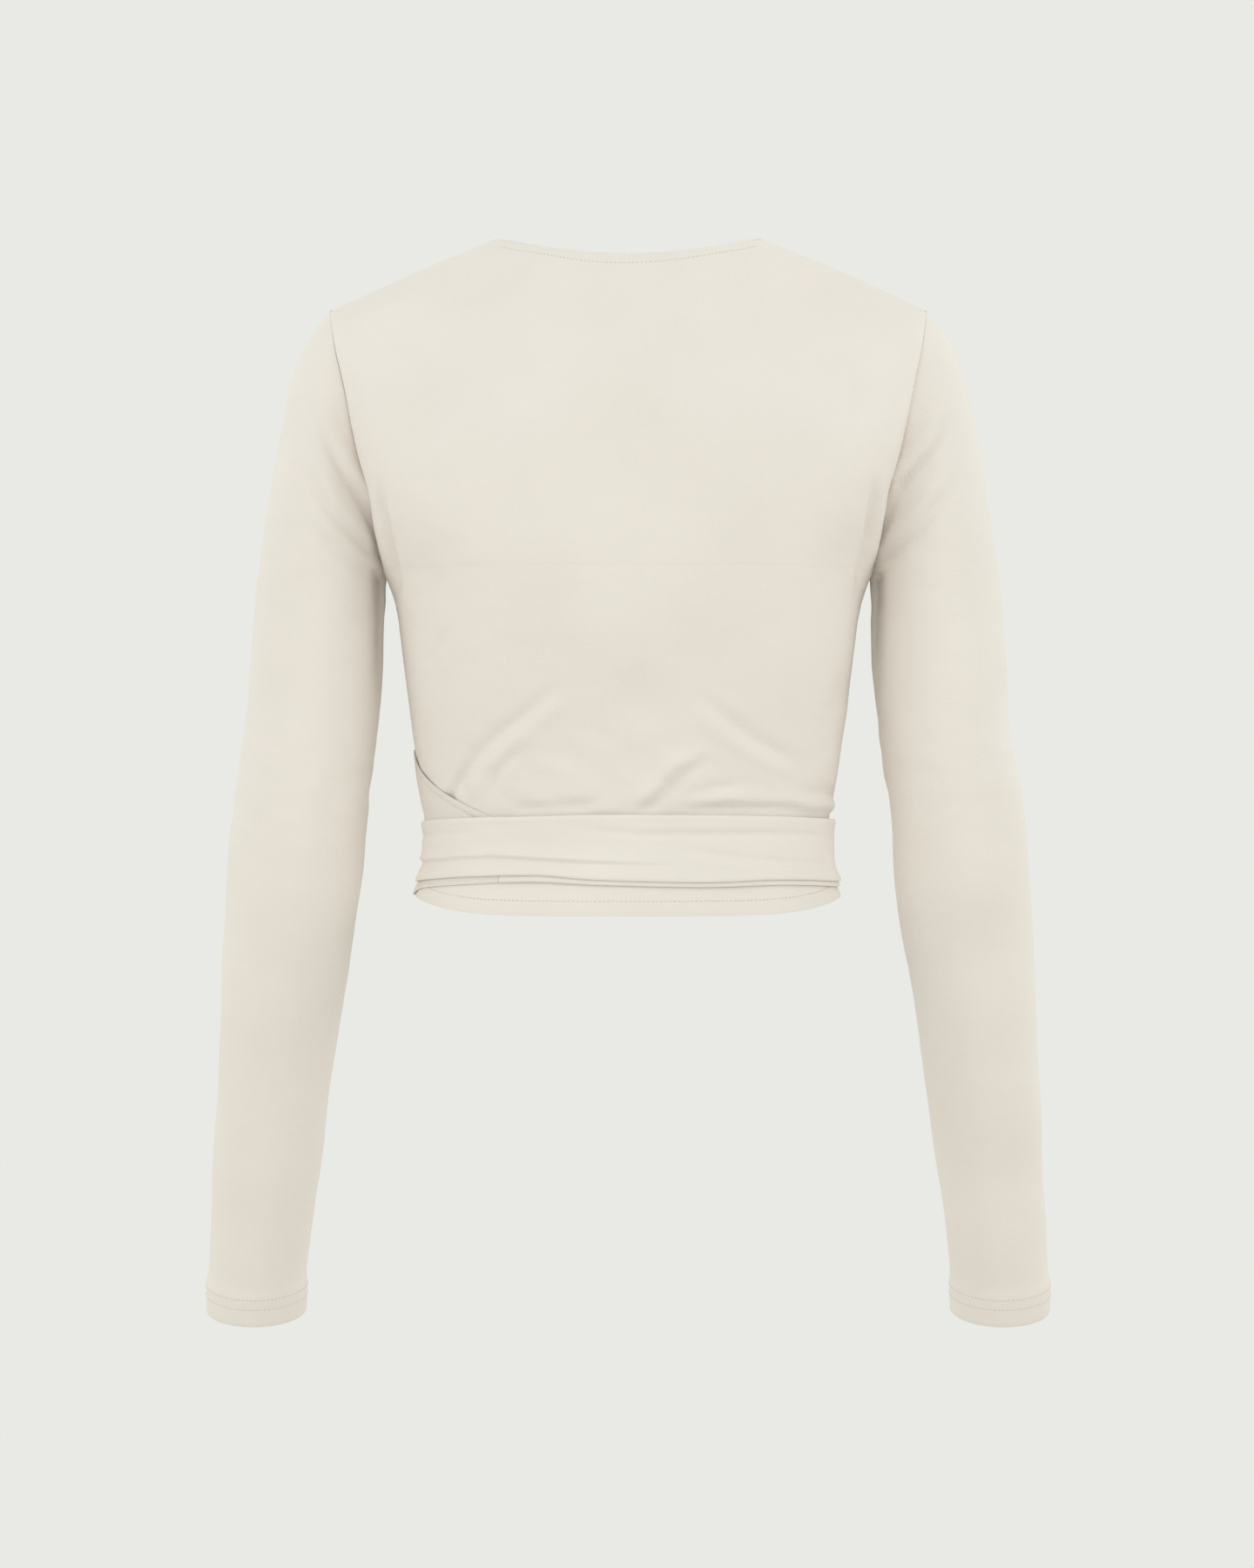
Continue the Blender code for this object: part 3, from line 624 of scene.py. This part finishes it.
def cloth_object(name, grid, closed=False, thick=CLOTH_THICK):
    """A shell of jersey behind a grid of outer points, with its own map in metres of cloth."""
    rows, count = grid.shape[:2]
    last = count if closed else count - 1
    i, j = np.meshgrid(np.arange(rows - 1), np.arange(last), indexing="ij")
    k = (j + 1) % count
    faces = np.stack([i * count + j, i * count + k, (i + 1) * count + k, (i + 1) * count + j], -1)
    mesh = bpy.data.meshes.new(name)
    mesh.from_pydata((grid.reshape(-1, 3) * MM).tolist(), [], faces.reshape(-1, 4).tolist())
    ring = closed_up(grid) if closed else grid
    along, up = run_lengths(ring, 1) * MM, run_lengths(ring, 0) * MM
    corners = [(i, j), (i, j + 1), (i + 1, j + 1), (i + 1, j)]
    uv = np.stack([np.stack([along[a, b], up[a, b]], -1) for a, b in corners], 2)
    layer = mesh.uv_layers.new(name="cloth")
    layer.data.foreach_set("uv", uv.astype(np.float32).ravel())
    mesh.materials.append(JERSEY)
    piece = bpy.data.objects.new(name, mesh)
    bpy.context.scene.collection.objects.link(piece)
    wall = piece.modifiers.new("wall", "SOLIDIFY")
    wall.thickness = thick * MM
    wall.offset = -1.0
    wall.use_even_offset = False
    bpy.context.view_layer.objects.active = piece
    bpy.ops.object.modifier_apply(modifier=wall.name)
    piece.data.shade_smooth()
    piece.data.set_sharp_from_angle(angle=math.radians(60))
    return piece


def sewn(grid, edges):
    """The grid with its sewn edges drawn back by half the seam's gap."""
    ends = {
        "top": (np.s_[-1, :], np.s_[-2, :]),
        "first": (np.s_[:, 0], np.s_[:, 1]),
        "last": (np.s_[:, -1], np.s_[:, -2]),
    }
    grid = grid.copy()
    for edge in edges:
        last, before = ends[edge]
        step = grid[before] - grid[last]
        length = np.maximum(np.linalg.norm(step, axis=1, keepdims=True), 1e-6)
        grid[last] += step / length * np.minimum(STITCHED_HALF, 0.4 * length)
    return grid


def hand_over(piece, node):
    """Parents a piece to the root's empty and hides the solid that it stands for."""
    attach(piece, "root")
    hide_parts(node)


STITCH_PITCH = 2.6
STITCH_HALF = 0.36 * STITCH_PITCH       # half a stitch, from its middle to where it dives in
STITCH_WIDE, STITCH_HIGH = 0.30, 0.20   # half its width, and how far its back stands above its heart
STITCH_HEART = 0.06                     # how far its heart lies above the cloth
STITCH_DIVE = 0.10                      # how deep its ends go into the cloth
STITCH_SHOULDER = 0.55                  # where it starts to narrow, as a share of its half
STITCH_SIDES = 6
STITCH_ROWS = []


def beside(grid, values, edge, distance):
    """The values along the line that runs at a distance from the cloth's top or bottom edge."""
    if edge == "top":
        grid, values = grid[::-1], values[::-1]
    way = run_lengths(grid, 0)
    line = np.empty((grid.shape[1], 3))
    for j in range(grid.shape[1]):
        for axis in range(3):
            line[j, axis] = np.interp(distance, way[:, j], values[:, j, axis])
    return line


def topstitch(grid, normals, edge, distance, keep=(0.0, 1.0)):
    """Notes one row of stitches, and which share of its way it covers."""
    points = beside(grid, grid, edge, distance)
    outs = beside(grid, normals, edge, distance)
    outs /= np.linalg.norm(outs, axis=1, keepdims=True)
    STITCH_ROWS.append({"points": points, "outs": outs, "keep": keep})


def on_way(line, way, place):
    """The point of a line at a place, measured along it."""
    return np.array([np.interp(place, way, line[:, axis]) for axis in range(3)])


def stitch(before, centre, after, out):
    """The points of one stitch: a short lozenge of thread between two holes."""
    along = (after - before) / np.linalg.norm(after - before)
    across = np.cross(out, along)
    points = [before - STITCH_DIVE * out]
    for share in (-STITCH_SHOULDER, STITCH_SHOULDER):
        for k in range(STITCH_SIDES):
            turn = 2 * np.pi * k / STITCH_SIDES
            points.append(
                centre + along * STITCH_HALF * share
                + across * STITCH_WIDE * np.cos(turn)
                + out * (STITCH_HEART + STITCH_HIGH * np.sin(turn))
            )
    points.append(after - STITCH_DIVE * out)
    return points


def stitch_faces(base):
    """The faces of one stitch whose first point has the number base."""
    faces = []
    tip = base + 1 + 2 * STITCH_SIDES
    for k in range(STITCH_SIDES):
        a, b = base + 1 + k, base + 1 + (k + 1) % STITCH_SIDES
        faces.append((base, b, a))
        faces.append((a, b, b + STITCH_SIDES, a + STITCH_SIDES))
        faces.append((tip, a + STITCH_SIDES, b + STITCH_SIDES))
    return faces


def stitch_mesh(rows, name):
    """All the topstitching as one mesh."""
    points, faces = [], []
    for row in rows:
        line, outs = row["points"], row["outs"]
        way = np.concatenate([[0], np.cumsum(np.linalg.norm(np.diff(line, axis=0), axis=1))])
        first, last = row["keep"][0] * way[-1], row["keep"][1] * way[-1]
        count = max(1, int((last - first) / STITCH_PITCH))
        for s in range(count):
            middle = first + (s + 0.5) * (last - first) / count
            out = on_way(outs, way, middle)
            out /= np.linalg.norm(out)
            faces += stitch_faces(len(points))
            points += stitch(
                on_way(line, way, middle - STITCH_HALF), on_way(line, way, middle),
                on_way(line, way, middle + STITCH_HALF), out,
            )
    mesh = bpy.data.meshes.new(name)
    mesh.from_pydata((np.array(points) * MM).tolist(), [], faces)
    mesh.materials.append(THREAD)
    piece = bpy.data.objects.new(name, mesh)
    bpy.context.scene.collection.objects.link(piece)
    piece.data.shade_smooth()
    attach(piece, "root")
    return piece


# ---- the panels -------------------------------------------------------------------------------
def above_tie(grid):
    """1 where the tie leaves the cloth bare, 0 beneath it."""
    return np.clip((grid[..., 2] - TIE_TOP_Z) / 3.0, 0.0, 1.0)


def make_back():
    """The back, from side seam to side seam, with its turned neck edge and hem."""
    across = across_stations(150)[::-1]
    level = level_stations(84, 64)
    grid = panel(across[None, :], level[:, None], BACK)
    grid = sewn(eased_panel(grid, across[None, :], level[:, None]), ("first", "last"))
    normals = unit_normals(grid)
    away = edge_distances(grid)
    shoulder = np.abs(across)[None, :] >= NECK
    move = roll_in(away["first"]) + roll_in(away["last"])
    move += np.where(shoulder, roll_in(away["top"]), turned(away["top"], NECK_TURN))
    move += turned(away["bottom"], HEM_TURN, 0.2) + furrow(away["bottom"], HEM_ROW)
    move += NECK_FURROW * furrow(away["top"], NECK_ROW) * (1 - shoulder)
    # Creases die out beside the side seams, except at the underarms.
    from_side = np.minimum(away["first"], away["last"])
    shown = np.clip(from_side / 9 - 0.1, 0.0, 1.0)
    shown = np.maximum(shown, np.clip((grid[..., 2] + 235.0) / 10.0, 0.0, 0.9))
    move += creases_on(grid, BACK_CREASES, shown) * above_tie(grid)
    inner = np.clip(from_side / 12, 0.0, 1.0) * np.clip(away["top"] / 12, 0.0, 1.0)
    move += unevenness(grid, 0.30, 3) * np.clip(away["bottom"] / 60, 0, 1)
    move += small_wrinkles(grid, 21) * above_tie(grid) * inner
    grid = grid + move[..., None] * normals
    normals = unit_normals(grid)
    piece = cloth_object("back_panel", grid)
    hand_over(piece, "back")
    inside = np.where(np.abs(across) <= NECK * 0.985)[0]
    neck = np.s_[:, inside[0]:inside[-1] + 1]
    topstitch(grid[neck], normals[neck], "top", NECK_ROW)
    topstitch(grid, normals, "bottom", HEM_ROW, keep=(0.01, 0.99))


def front_settle(level):
    """The share of a layer's height that is left, down to nothing at the shoulder seam."""
    return 1 - np.clip(level - 1, 0.0, 1.0) ** 2


def make_front_right():
    """The outer front: across the body, round the left side and on to the tie."""
    across = across_stations(140)[None, :]
    share = level_stations(84, 64)[:, None]
    across, share = np.broadcast_arrays(across, share)
    at = share * free_edge(across) / 2
    front = lifted(across, at, FRONT, crossing(across) * front_settle(at))
    front = eased_panel(front, across, at)
    # Behind the side seam the edge falls, and the hem climbs to where the tie takes it.
    turns = np.linspace(0.0, 1.0, 44)[1:]
    way = np.broadcast_to(turns[None, :], (share.shape[0], len(turns)))
    edge = WRAP_SIDE_Z - WRAP_BACK_FALL * way**0.85
    low = HEM_Z + (WRAP_HEM_Z - HEM_Z) * (0.4 * (1 - (1 - way) ** 8) + 0.6 * way)
    far = np.cos(np.radians(WRAP_BACK_TURN * way))
    at = level_at(far, low + (edge - low) * share[:, :1] / 2, BACK)
    around = lifted(far, at, BACK, LAYER)
    grid = sewn(np.concatenate([front, around], 1), ("first",))
    normals = unit_normals(grid)
    away = edge_distances(grid)
    shoulder = np.concatenate([across[0] <= -NECK, np.zeros(len(turns), bool)])[None, :]
    move = roll_in(away["first"])
    # The free edge is pressed on to the layer beneath, and the wrapped hem slips under the tie.
    pressed = turned(away["top"], EDGE_TURN, 0.3) - 1.1 * np.exp(-((away["top"] / 8.0) ** 2))
    move += np.where(shoulder, roll_in(away["top"]), pressed)
    move += turned(away["bottom"], HEM_TURN, 0.2) + furrow(away["bottom"], HEM_ROW)
    move += furrow(away["top"], EDGE_ROW) * (1 - shoulder)
    wrapped = np.concatenate([np.zeros(across.shape[1]), np.minimum(1.0, turns * 6)])[None, :]
    move -= 1.0 * wrapped * np.exp(-((away["bottom"] / 5) ** 2))
    move += creases_on(grid, FRONT_CREASES, facing(normals, FRONT) * above_tie(grid))
    grid = grid + move[..., None] * normals
    normals = unit_normals(grid)
    piece = cloth_object("front_right_panel", grid)
    hand_over(piece, "front_right")
    free = int(np.argmax(~shoulder[0])) + 1
    topstitch(grid[:, free:], normals[:, free:], "top", EDGE_ROW)
    topstitch(grid[:, :-len(turns)], normals[:, :-len(turns)], "bottom", HEM_ROW)


def make_front_left():
    """The inner front, under front_right as far as the right side seam."""
    across = across_stations(130)[None, :]
    share = level_stations(80, 60)[:, None]
    across, share = np.broadcast_arrays(across, share)
    at = share * free_edge(-across) / 2
    free = 1 - np.clip((across - 0.6) / 0.4, 0.0, 1.0)
    at = at + 0.035 * free * np.maximum(0.0, 1 - share)
    layer = -LAYER - CROSS_ROOM * (1 - across**2)
    height = (crossing(across) + layer) * front_settle(at)
    grid = eased_panel(lifted(across, at, FRONT, height), across, at)
    grid = sewn(grid, ("first", "last"))
    normals = unit_normals(grid)
    away = edge_distances(grid)
    shoulder = across[:1] >= NECK
    move = roll_in(away["last"])
    move += np.where(shoulder, roll_in(away["top"]), turned(away["top"], EDGE_TURN, 0.3))
    uncovered = np.clip((at - free_edge(across)) * 14, 0.0, 1.0)
    move += creases_on(grid, LEFT_FRONT_CREASES, facing(normals, FRONT) * uncovered)
    grid = grid + move[..., None] * normals
    normals = unit_normals(grid)
    piece = cloth_object("front_left_panel", grid)
    hand_over(piece, "front_left")
    bare = int(np.argmax(shoulder[0])) - 1
    topstitch(grid[:, :bare], normals[:, :bare], "top", EDGE_ROW)


# ---- the sleeves ------------------------------------------------------------------------------
SLEEVE_ROWS, SLEEVE_COLUMNS = 216, 104


def sleeve_grid(side):
    """Rings from the cuff up to the armhole, each from its outer point past the back."""
    order = np.arange(len(SLEEVE), dtype=float)
    rows = [{**row, "n": n} for n, row in enumerate(SLEEVE)]
    outers = np.array([[row["out_x"], row["out_z"]] for row in SLEEVE])
    spans = np.concatenate([[0.0], np.cumsum(np.linalg.norm(np.diff(outers, axis=0), axis=1))])
    at = np.interp(np.linspace(0.0, spans[-1], SLEEVE_ROWS), spans, order)
    closer = [0.02, 0.05, 0.09, order[-1] - 0.03, order[-1] - 0.01]
    at = np.unique(np.concatenate([at, closer]))[:, None]
    value = {key: smooth(rows, "n", key, at) for key in SLEEVE[0]}
    turn = np.linspace(0.0, 2 * np.pi, SLEEVE_COLUMNS, endpoint=False)[None, :]
    tilt = np.radians(value["tilt"])
    out, swing = np.cos(turn), np.sin(turn)
    x = (value["out_x"] + value["in_x"]) / 2 + (value["out_x"] - value["in_x"]) / 2 * out
    y = value["y"] + value["deep"] * np.cos(tilt) * swing
    z = (value["out_z"] + value["in_z"]) / 2 + (value["out_z"] - value["in_z"]) / 2 * out
    z = z - value["deep"] * np.sin(tilt) * swing
    # The first ring follows the armhole's curve, which the next ring no longer has.
    up = (1 + out) / 2
    straight = ARMHOLE[0]["half"] + (ARMHOLE[-1]["half"] - ARMHOLE[0]["half"]) * up
    x = x + (smooth(ARMHOLE, "up", "half", up) - straight) * np.clip(1 - at, 0.0, 1.0) ** 2
    grid = np.stack([x, y, z], -1)[::-1]
    if side == "right":
        grid = (grid * np.array([-1.0, 1.0, 1.0]))[:, ::-1]
    return grid


def underarm_fold(grid, away_top):
    """The slack cloth below the underarm, folded in so that its inner side lies in shade."""
    x, y, z = np.abs(grid[..., 0]), grid[..., 1], grid[..., 2]
    inner = 1 / (1 + np.exp(np.clip((x - np.interp(z, FOLD_Z, FOLD_EDGE)) / 0.6, -40, 40)))
    pressed = np.interp(z, PRESSED_Z, PRESSED) * inner * np.clip(away_top / 5, 0.0, 1.0)
    grid = grid.copy()
    grid[..., 1] = np.where(y > 0, y * (1 - pressed), y)
    return grid


def make_sleeve(side, creases, seed):
    """A sleeve, sewn in at the armhole, with its cuff's twin rows of topstitching."""
    grid = sewn(sleeve_grid(side), ("top",))
    grid = underarm_fold(grid, edge_distances(grid)["top"])
    normals = unit_normals(grid, True)
    away = edge_distances(grid)
    move = roll_in(away["top"]) + 0.2 * np.exp(-(((away["top"] - 4.0) / 2.4) ** 2))
    move += turned(away["bottom"], CUFF_TURN, 0.4)
    move += furrow(away["bottom"], CUFF_ROWS[0]) + furrow(away["bottom"], CUFF_ROWS[1])
    shown = np.maximum(facing(normals, BACK), 0.7 * facing(normals, FRONT))
    move += creases_on(grid, creases, shown)
    upper = np.clip((grid[..., 2] + 640.0) / 60.0, 0.0, 1.0)
    move += unevenness(grid, 0.55, seed) * upper * np.clip(away["top"] / 30, 0, 1)
    move += small_wrinkles(grid, seed + 40) * upper * np.clip(away["top"] / 14, 0, 1)
    grid = grid + move[..., None] * normals
    normals = unit_normals(grid, True)
    piece = cloth_object("sleeve_" + side + "_cloth", grid, closed=True)
    hand_over(piece, "sleeve_" + side)
    for height in CUFF_ROWS:
        topstitch(closed_up(grid), closed_up(normals), "bottom", height)


# ---- the tie ----------------------------------------------------------------------------------
UNDER_TOP_DROP = 5.0        # the first turn's upper edge lies this far below the second's


def round_body(turn, z, layer):
    """Points of a layer round the body, by the turn from the left side past the back."""
    turn, z, layer = np.broadcast_arrays(turn % 360.0, z, layer)
    across = np.cos(np.radians(turn))
    behind = lifted(across, level_at(across, z, BACK), BACK, layer)
    before = lifted(across, level_at(across, z, FRONT), FRONT, layer + crossing(across))
    return np.where((turn <= 180)[..., None], behind, before)


def finish_tie(grid, name, creases, front_creases):
    """One turn of the tie: rolled edges, its creases and a slow unevenness along it."""
    normals = unit_normals(grid)
    away = edge_distances(grid)
    edge = np.minimum(away["bottom"], away["top"])
    move = -0.7 * np.clip(1 - edge / 1.4, 0.0, 1.0) ** 2 + 0.25 * np.exp(-(((edge - 2.4) / 1.6) ** 2))
    move += creases_on(grid, creases, facing(normals, BACK, 1.0))
    move += creases_on(grid, front_creases, facing(normals, FRONT, 0.0))
    move += unevenness(grid, 0.12, 31, 40.0, (0.4, 0.6, 1.6)) * np.clip(edge / 5, 0.0, 1.0)
    grid = grid + move[..., None] * normals
    return cloth_object(name, grid, thick=TIE_THICK)


def band_rows(low, high, count):
    """Heights across the tie, closer together beside its edges."""
    share = np.linspace(0.0, 1.0, count)[:, None]
    share = 0.5 - 0.5 * np.cos(np.pi * share) * (0.35 + 0.65 * np.abs(np.cos(np.pi * share)) ** 0.1)
    return low + (high - low) * share


def make_tie_under():
    """The first turn, from the end of the outer front round the back to the knot."""
    turn = np.linspace(WRAP_BACK_TURN + 0.3, KNOT_TURN, 240)[None, :]
    low = smooth(BAND, "turn", "under", turn)
    high = smooth(BAND, "turn", "top", turn) - UNDER_TOP_DROP
    grid = round_body(turn, band_rows(low, high, 26), LAYER)
    piece = finish_tie(grid, "tie_first_turn", [], [])
    hand_over(piece, "tie_under")


def make_tie_over():
    """The second turn, from the knot all round and back to it."""
    turn = np.linspace(KNOT_TURN - 359.0, KNOT_TURN, 400)[None, :]
    low = smooth(BAND, "turn", "bottom", turn % 360)
    high = smooth(BAND, "turn", "top", turn % 360)
    layer = np.where(turn < 0, LAYER, 2 * LAYER)
    grid = round_body(turn, band_rows(low, high, 76), layer)
    piece = finish_tie(grid, "tie_second_turn", BAND_CREASES, BAND_FRONT_CREASES)
    hand_over(piece, "tie_over")


# The free end: where it starts and how far it goes, as shares of the way to the left side seam.
END_FROM, END_LONG = 0.41, 0.45
END_Z, END_FALL = -376.0, 12.0
END_HALF = 14.0


def make_tie_end():
    """The free end: narrow beside the knot, full width further on, with a slow wave along it."""
    across = np.linspace(END_FROM, END_FROM + END_LONG, 60)[None, :]
    share = (across - END_FROM) / END_LONG
    half = END_HALF * (0.55 + 0.45 * np.clip(share / 0.4, 0.0, 1.0) ** 0.8)
    middle = END_Z - END_FALL * share
    z = band_rows(middle - half, middle + half, 24)
    away = (z - middle) / END_HALF
    across, z = np.broadcast_arrays(across, z)
    grid = lifted(across, level_of(z), FRONT, crossing(across) + 2 * LAYER)
    ridge = np.exp(-((away / 0.3) ** 2)) * np.clip(1 - 2 * share, 0, 1)
    move = 0.9 * np.sin(share * 6.5) * (1 - away**2) + ridge + 0.5
    grid = grid + move[..., None] * unit_normals(grid)
    piece = cloth_object("tie_free_end", grid, thick=TIE_THICK)
    hand_over(piece, "tie_end")


# Grooves round the knot: place and slope as shares of its half height, depth in mm, and width.
KNOT_GROOVES = [(0.46, -0.30, 2.4, 0.12), (0.02, 0.55, 3.2, 0.11), (-0.62, 0.20, 1.8, 0.14)]
KNOT_LEAN = 0.12            # it leans with the band, which is further out lower down
KNOT_WIDE, KNOT_THICK = 34.0, 16.0
KNOT_Z = -370.0
KNOT_ROOM = 1.0             # between the knot and the layers under it
KNOT_POLE = 0.02            # the small opening left at top and bottom, as an angle


def make_knot():
    """The knot: a soft round of wound cloth with grooves across it."""
    low, high = (np.array(corner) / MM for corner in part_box("tie_knot"))
    tall = high[2] - low[2]
    place, level = np.array([KNOT_SIDE]), level_of(np.array([KNOT_Z]))
    ground = lifted(place, level, FRONT, np.array([0.0]))[0]
    lift = lifted(place, level, FRONT, np.array([1.0]))[0] - ground
    lift[2] = 0.0
    lift /= np.linalg.norm(lift)
    along = np.array([lift[1], -lift[0], 0.0])
    up = np.array([0.0, 0.0, 1.0])
    rise = np.linspace(KNOT_POLE, np.pi - KNOT_POLE, 60)[:, None]
    turn = np.linspace(0.0, 2 * np.pi, 72, endpoint=False)[None, :]
    girth, way = np.sin(rise) ** 0.7, np.cos(rise)
    groove = 0.0
    for middle, slope, deep, width in KNOT_GROOVES:
        groove = groove + deep * np.exp(-(((way - middle - slope * np.cos(turn)) / width) ** 2))
    side = (KNOT_WIDE / 2 - groove) * girth * np.cos(turn)
    out = np.maximum((KNOT_THICK / 2 - groove) * (girth * np.sin(turn) + 1), 0.8)
    height = np.broadcast_to(-tall / 2 * way, side.shape)
    away = crossing(KNOT_SIDE) + 2 * LAYER + KNOT_ROOM + out - KNOT_LEAN * height
    grid = ground + along * side[..., None] + lift * away[..., None] + up * height[..., None]
    piece = cloth_object("tie_knot_cloth", grid, closed=True)
    hand_over(piece, "tie_knot")


# ---- the studio, in metres --------------------------------------------------------------------
FLOOR_RADIUS, FLOOR_Z = 1.9, -1.15
LIT_MIDDLE = Vector((0.0, 0.0, -0.30))
VIEW_HEIGHT = 0.954         # what the view takes in from top to bottom, at the side seams
CAMERA_AWAY = 3.0
CAMERA_X, CAMERA_Z = 0.0008, -0.331
SENSOR = 36.0

# Soft round lights: place, size and power in watts.
LIGHTS = {
    "top_soft": ((0.0, 1.6, 2.0), 1.2, 3.0),
    "left_back": ((2.6, 1.5, 0.4), 1.6, 13.5),
    "right_back": ((-2.6, 1.5, 0.4), 1.6, 13.5),
    "eye_level": ((0.0, 3.3, 0.0), 1.4, 4.0),
    "left_front": ((2.0, -2.3, 0.6), 1.6, 8.0),
    "right_front": ((-2.2, -2.1, 0.9), 1.4, 11.0),
}


def area_light(name, place, size, power):
    """A round soft light that points at the top's middle."""
    light = bpy.data.lights.new(name, "AREA")
    light.shape = "DISK"
    light.size = size
    light.energy = power
    lamp = bpy.data.objects.new(name, light)
    bpy.context.scene.collection.objects.link(lamp)
    lamp.location = place
    lamp.rotation_euler = (LIT_MIDDLE - Vector(place)).to_track_quat("-Z", "Y").to_euler()


def make_floor():
    """The disc of painted floor far below the top."""
    bpy.ops.mesh.primitive_circle_add(
        vertices=96, radius=FLOOR_RADIUS, fill_type="NGON", location=(0, 0, FLOOR_Z)
    )
    floor = bpy.context.object
    floor.name = "studio_floor"
    material, nodes, _ = new_material("studio_floor_paint")
    nodes["Principled BSDF"].inputs["Base Color"].default_value = (0.70, 0.67, 0.63, 1.0)
    nodes["Principled BSDF"].inputs["Roughness"].default_value = 0.9
    floor.data.materials.append(material)


def studio():
    """Floor, sky, lights, and a camera that looks at the back."""
    make_floor()
    world = bpy.data.worlds.new("studio")
    bpy.context.scene.world = world
    world.use_nodes = True
    sky = world.node_tree.nodes["Background"]
    sky.inputs["Color"].default_value = (0.815, 0.823, 0.784, 1.0)
    sky.inputs["Strength"].default_value = 1.0

    for name, (place, size, power) in LIGHTS.items():
        area_light(name, place, size, power)

    camera = bpy.data.cameras.new("view")
    camera.sensor_width = SENSOR
    camera.lens = SENSOR * CAMERA_AWAY / VIEW_HEIGHT
    eye = bpy.data.objects.new("view", camera)
    bpy.context.scene.collection.objects.link(eye)
    eye.location = (CAMERA_X, CAMERA_AWAY, CAMERA_Z)
    eye.rotation_euler = (math.radians(90), 0.0, math.radians(180))
    bpy.context.scene.camera = eye
    bpy.context.scene.view_settings.view_transform = "Standard"


def main():
    studio()
    make_back()
    make_front_right()
    make_front_left()
    make_sleeve("left", LEFT_SLEEVE_CREASES, 11)
    make_sleeve("right", RIGHT_SLEEVE_CREASES, 12)
    make_tie_under()
    make_tie_over()
    make_tie_end()
    make_knot()
    stitch_mesh(STITCH_ROWS, "topstitching")


main()
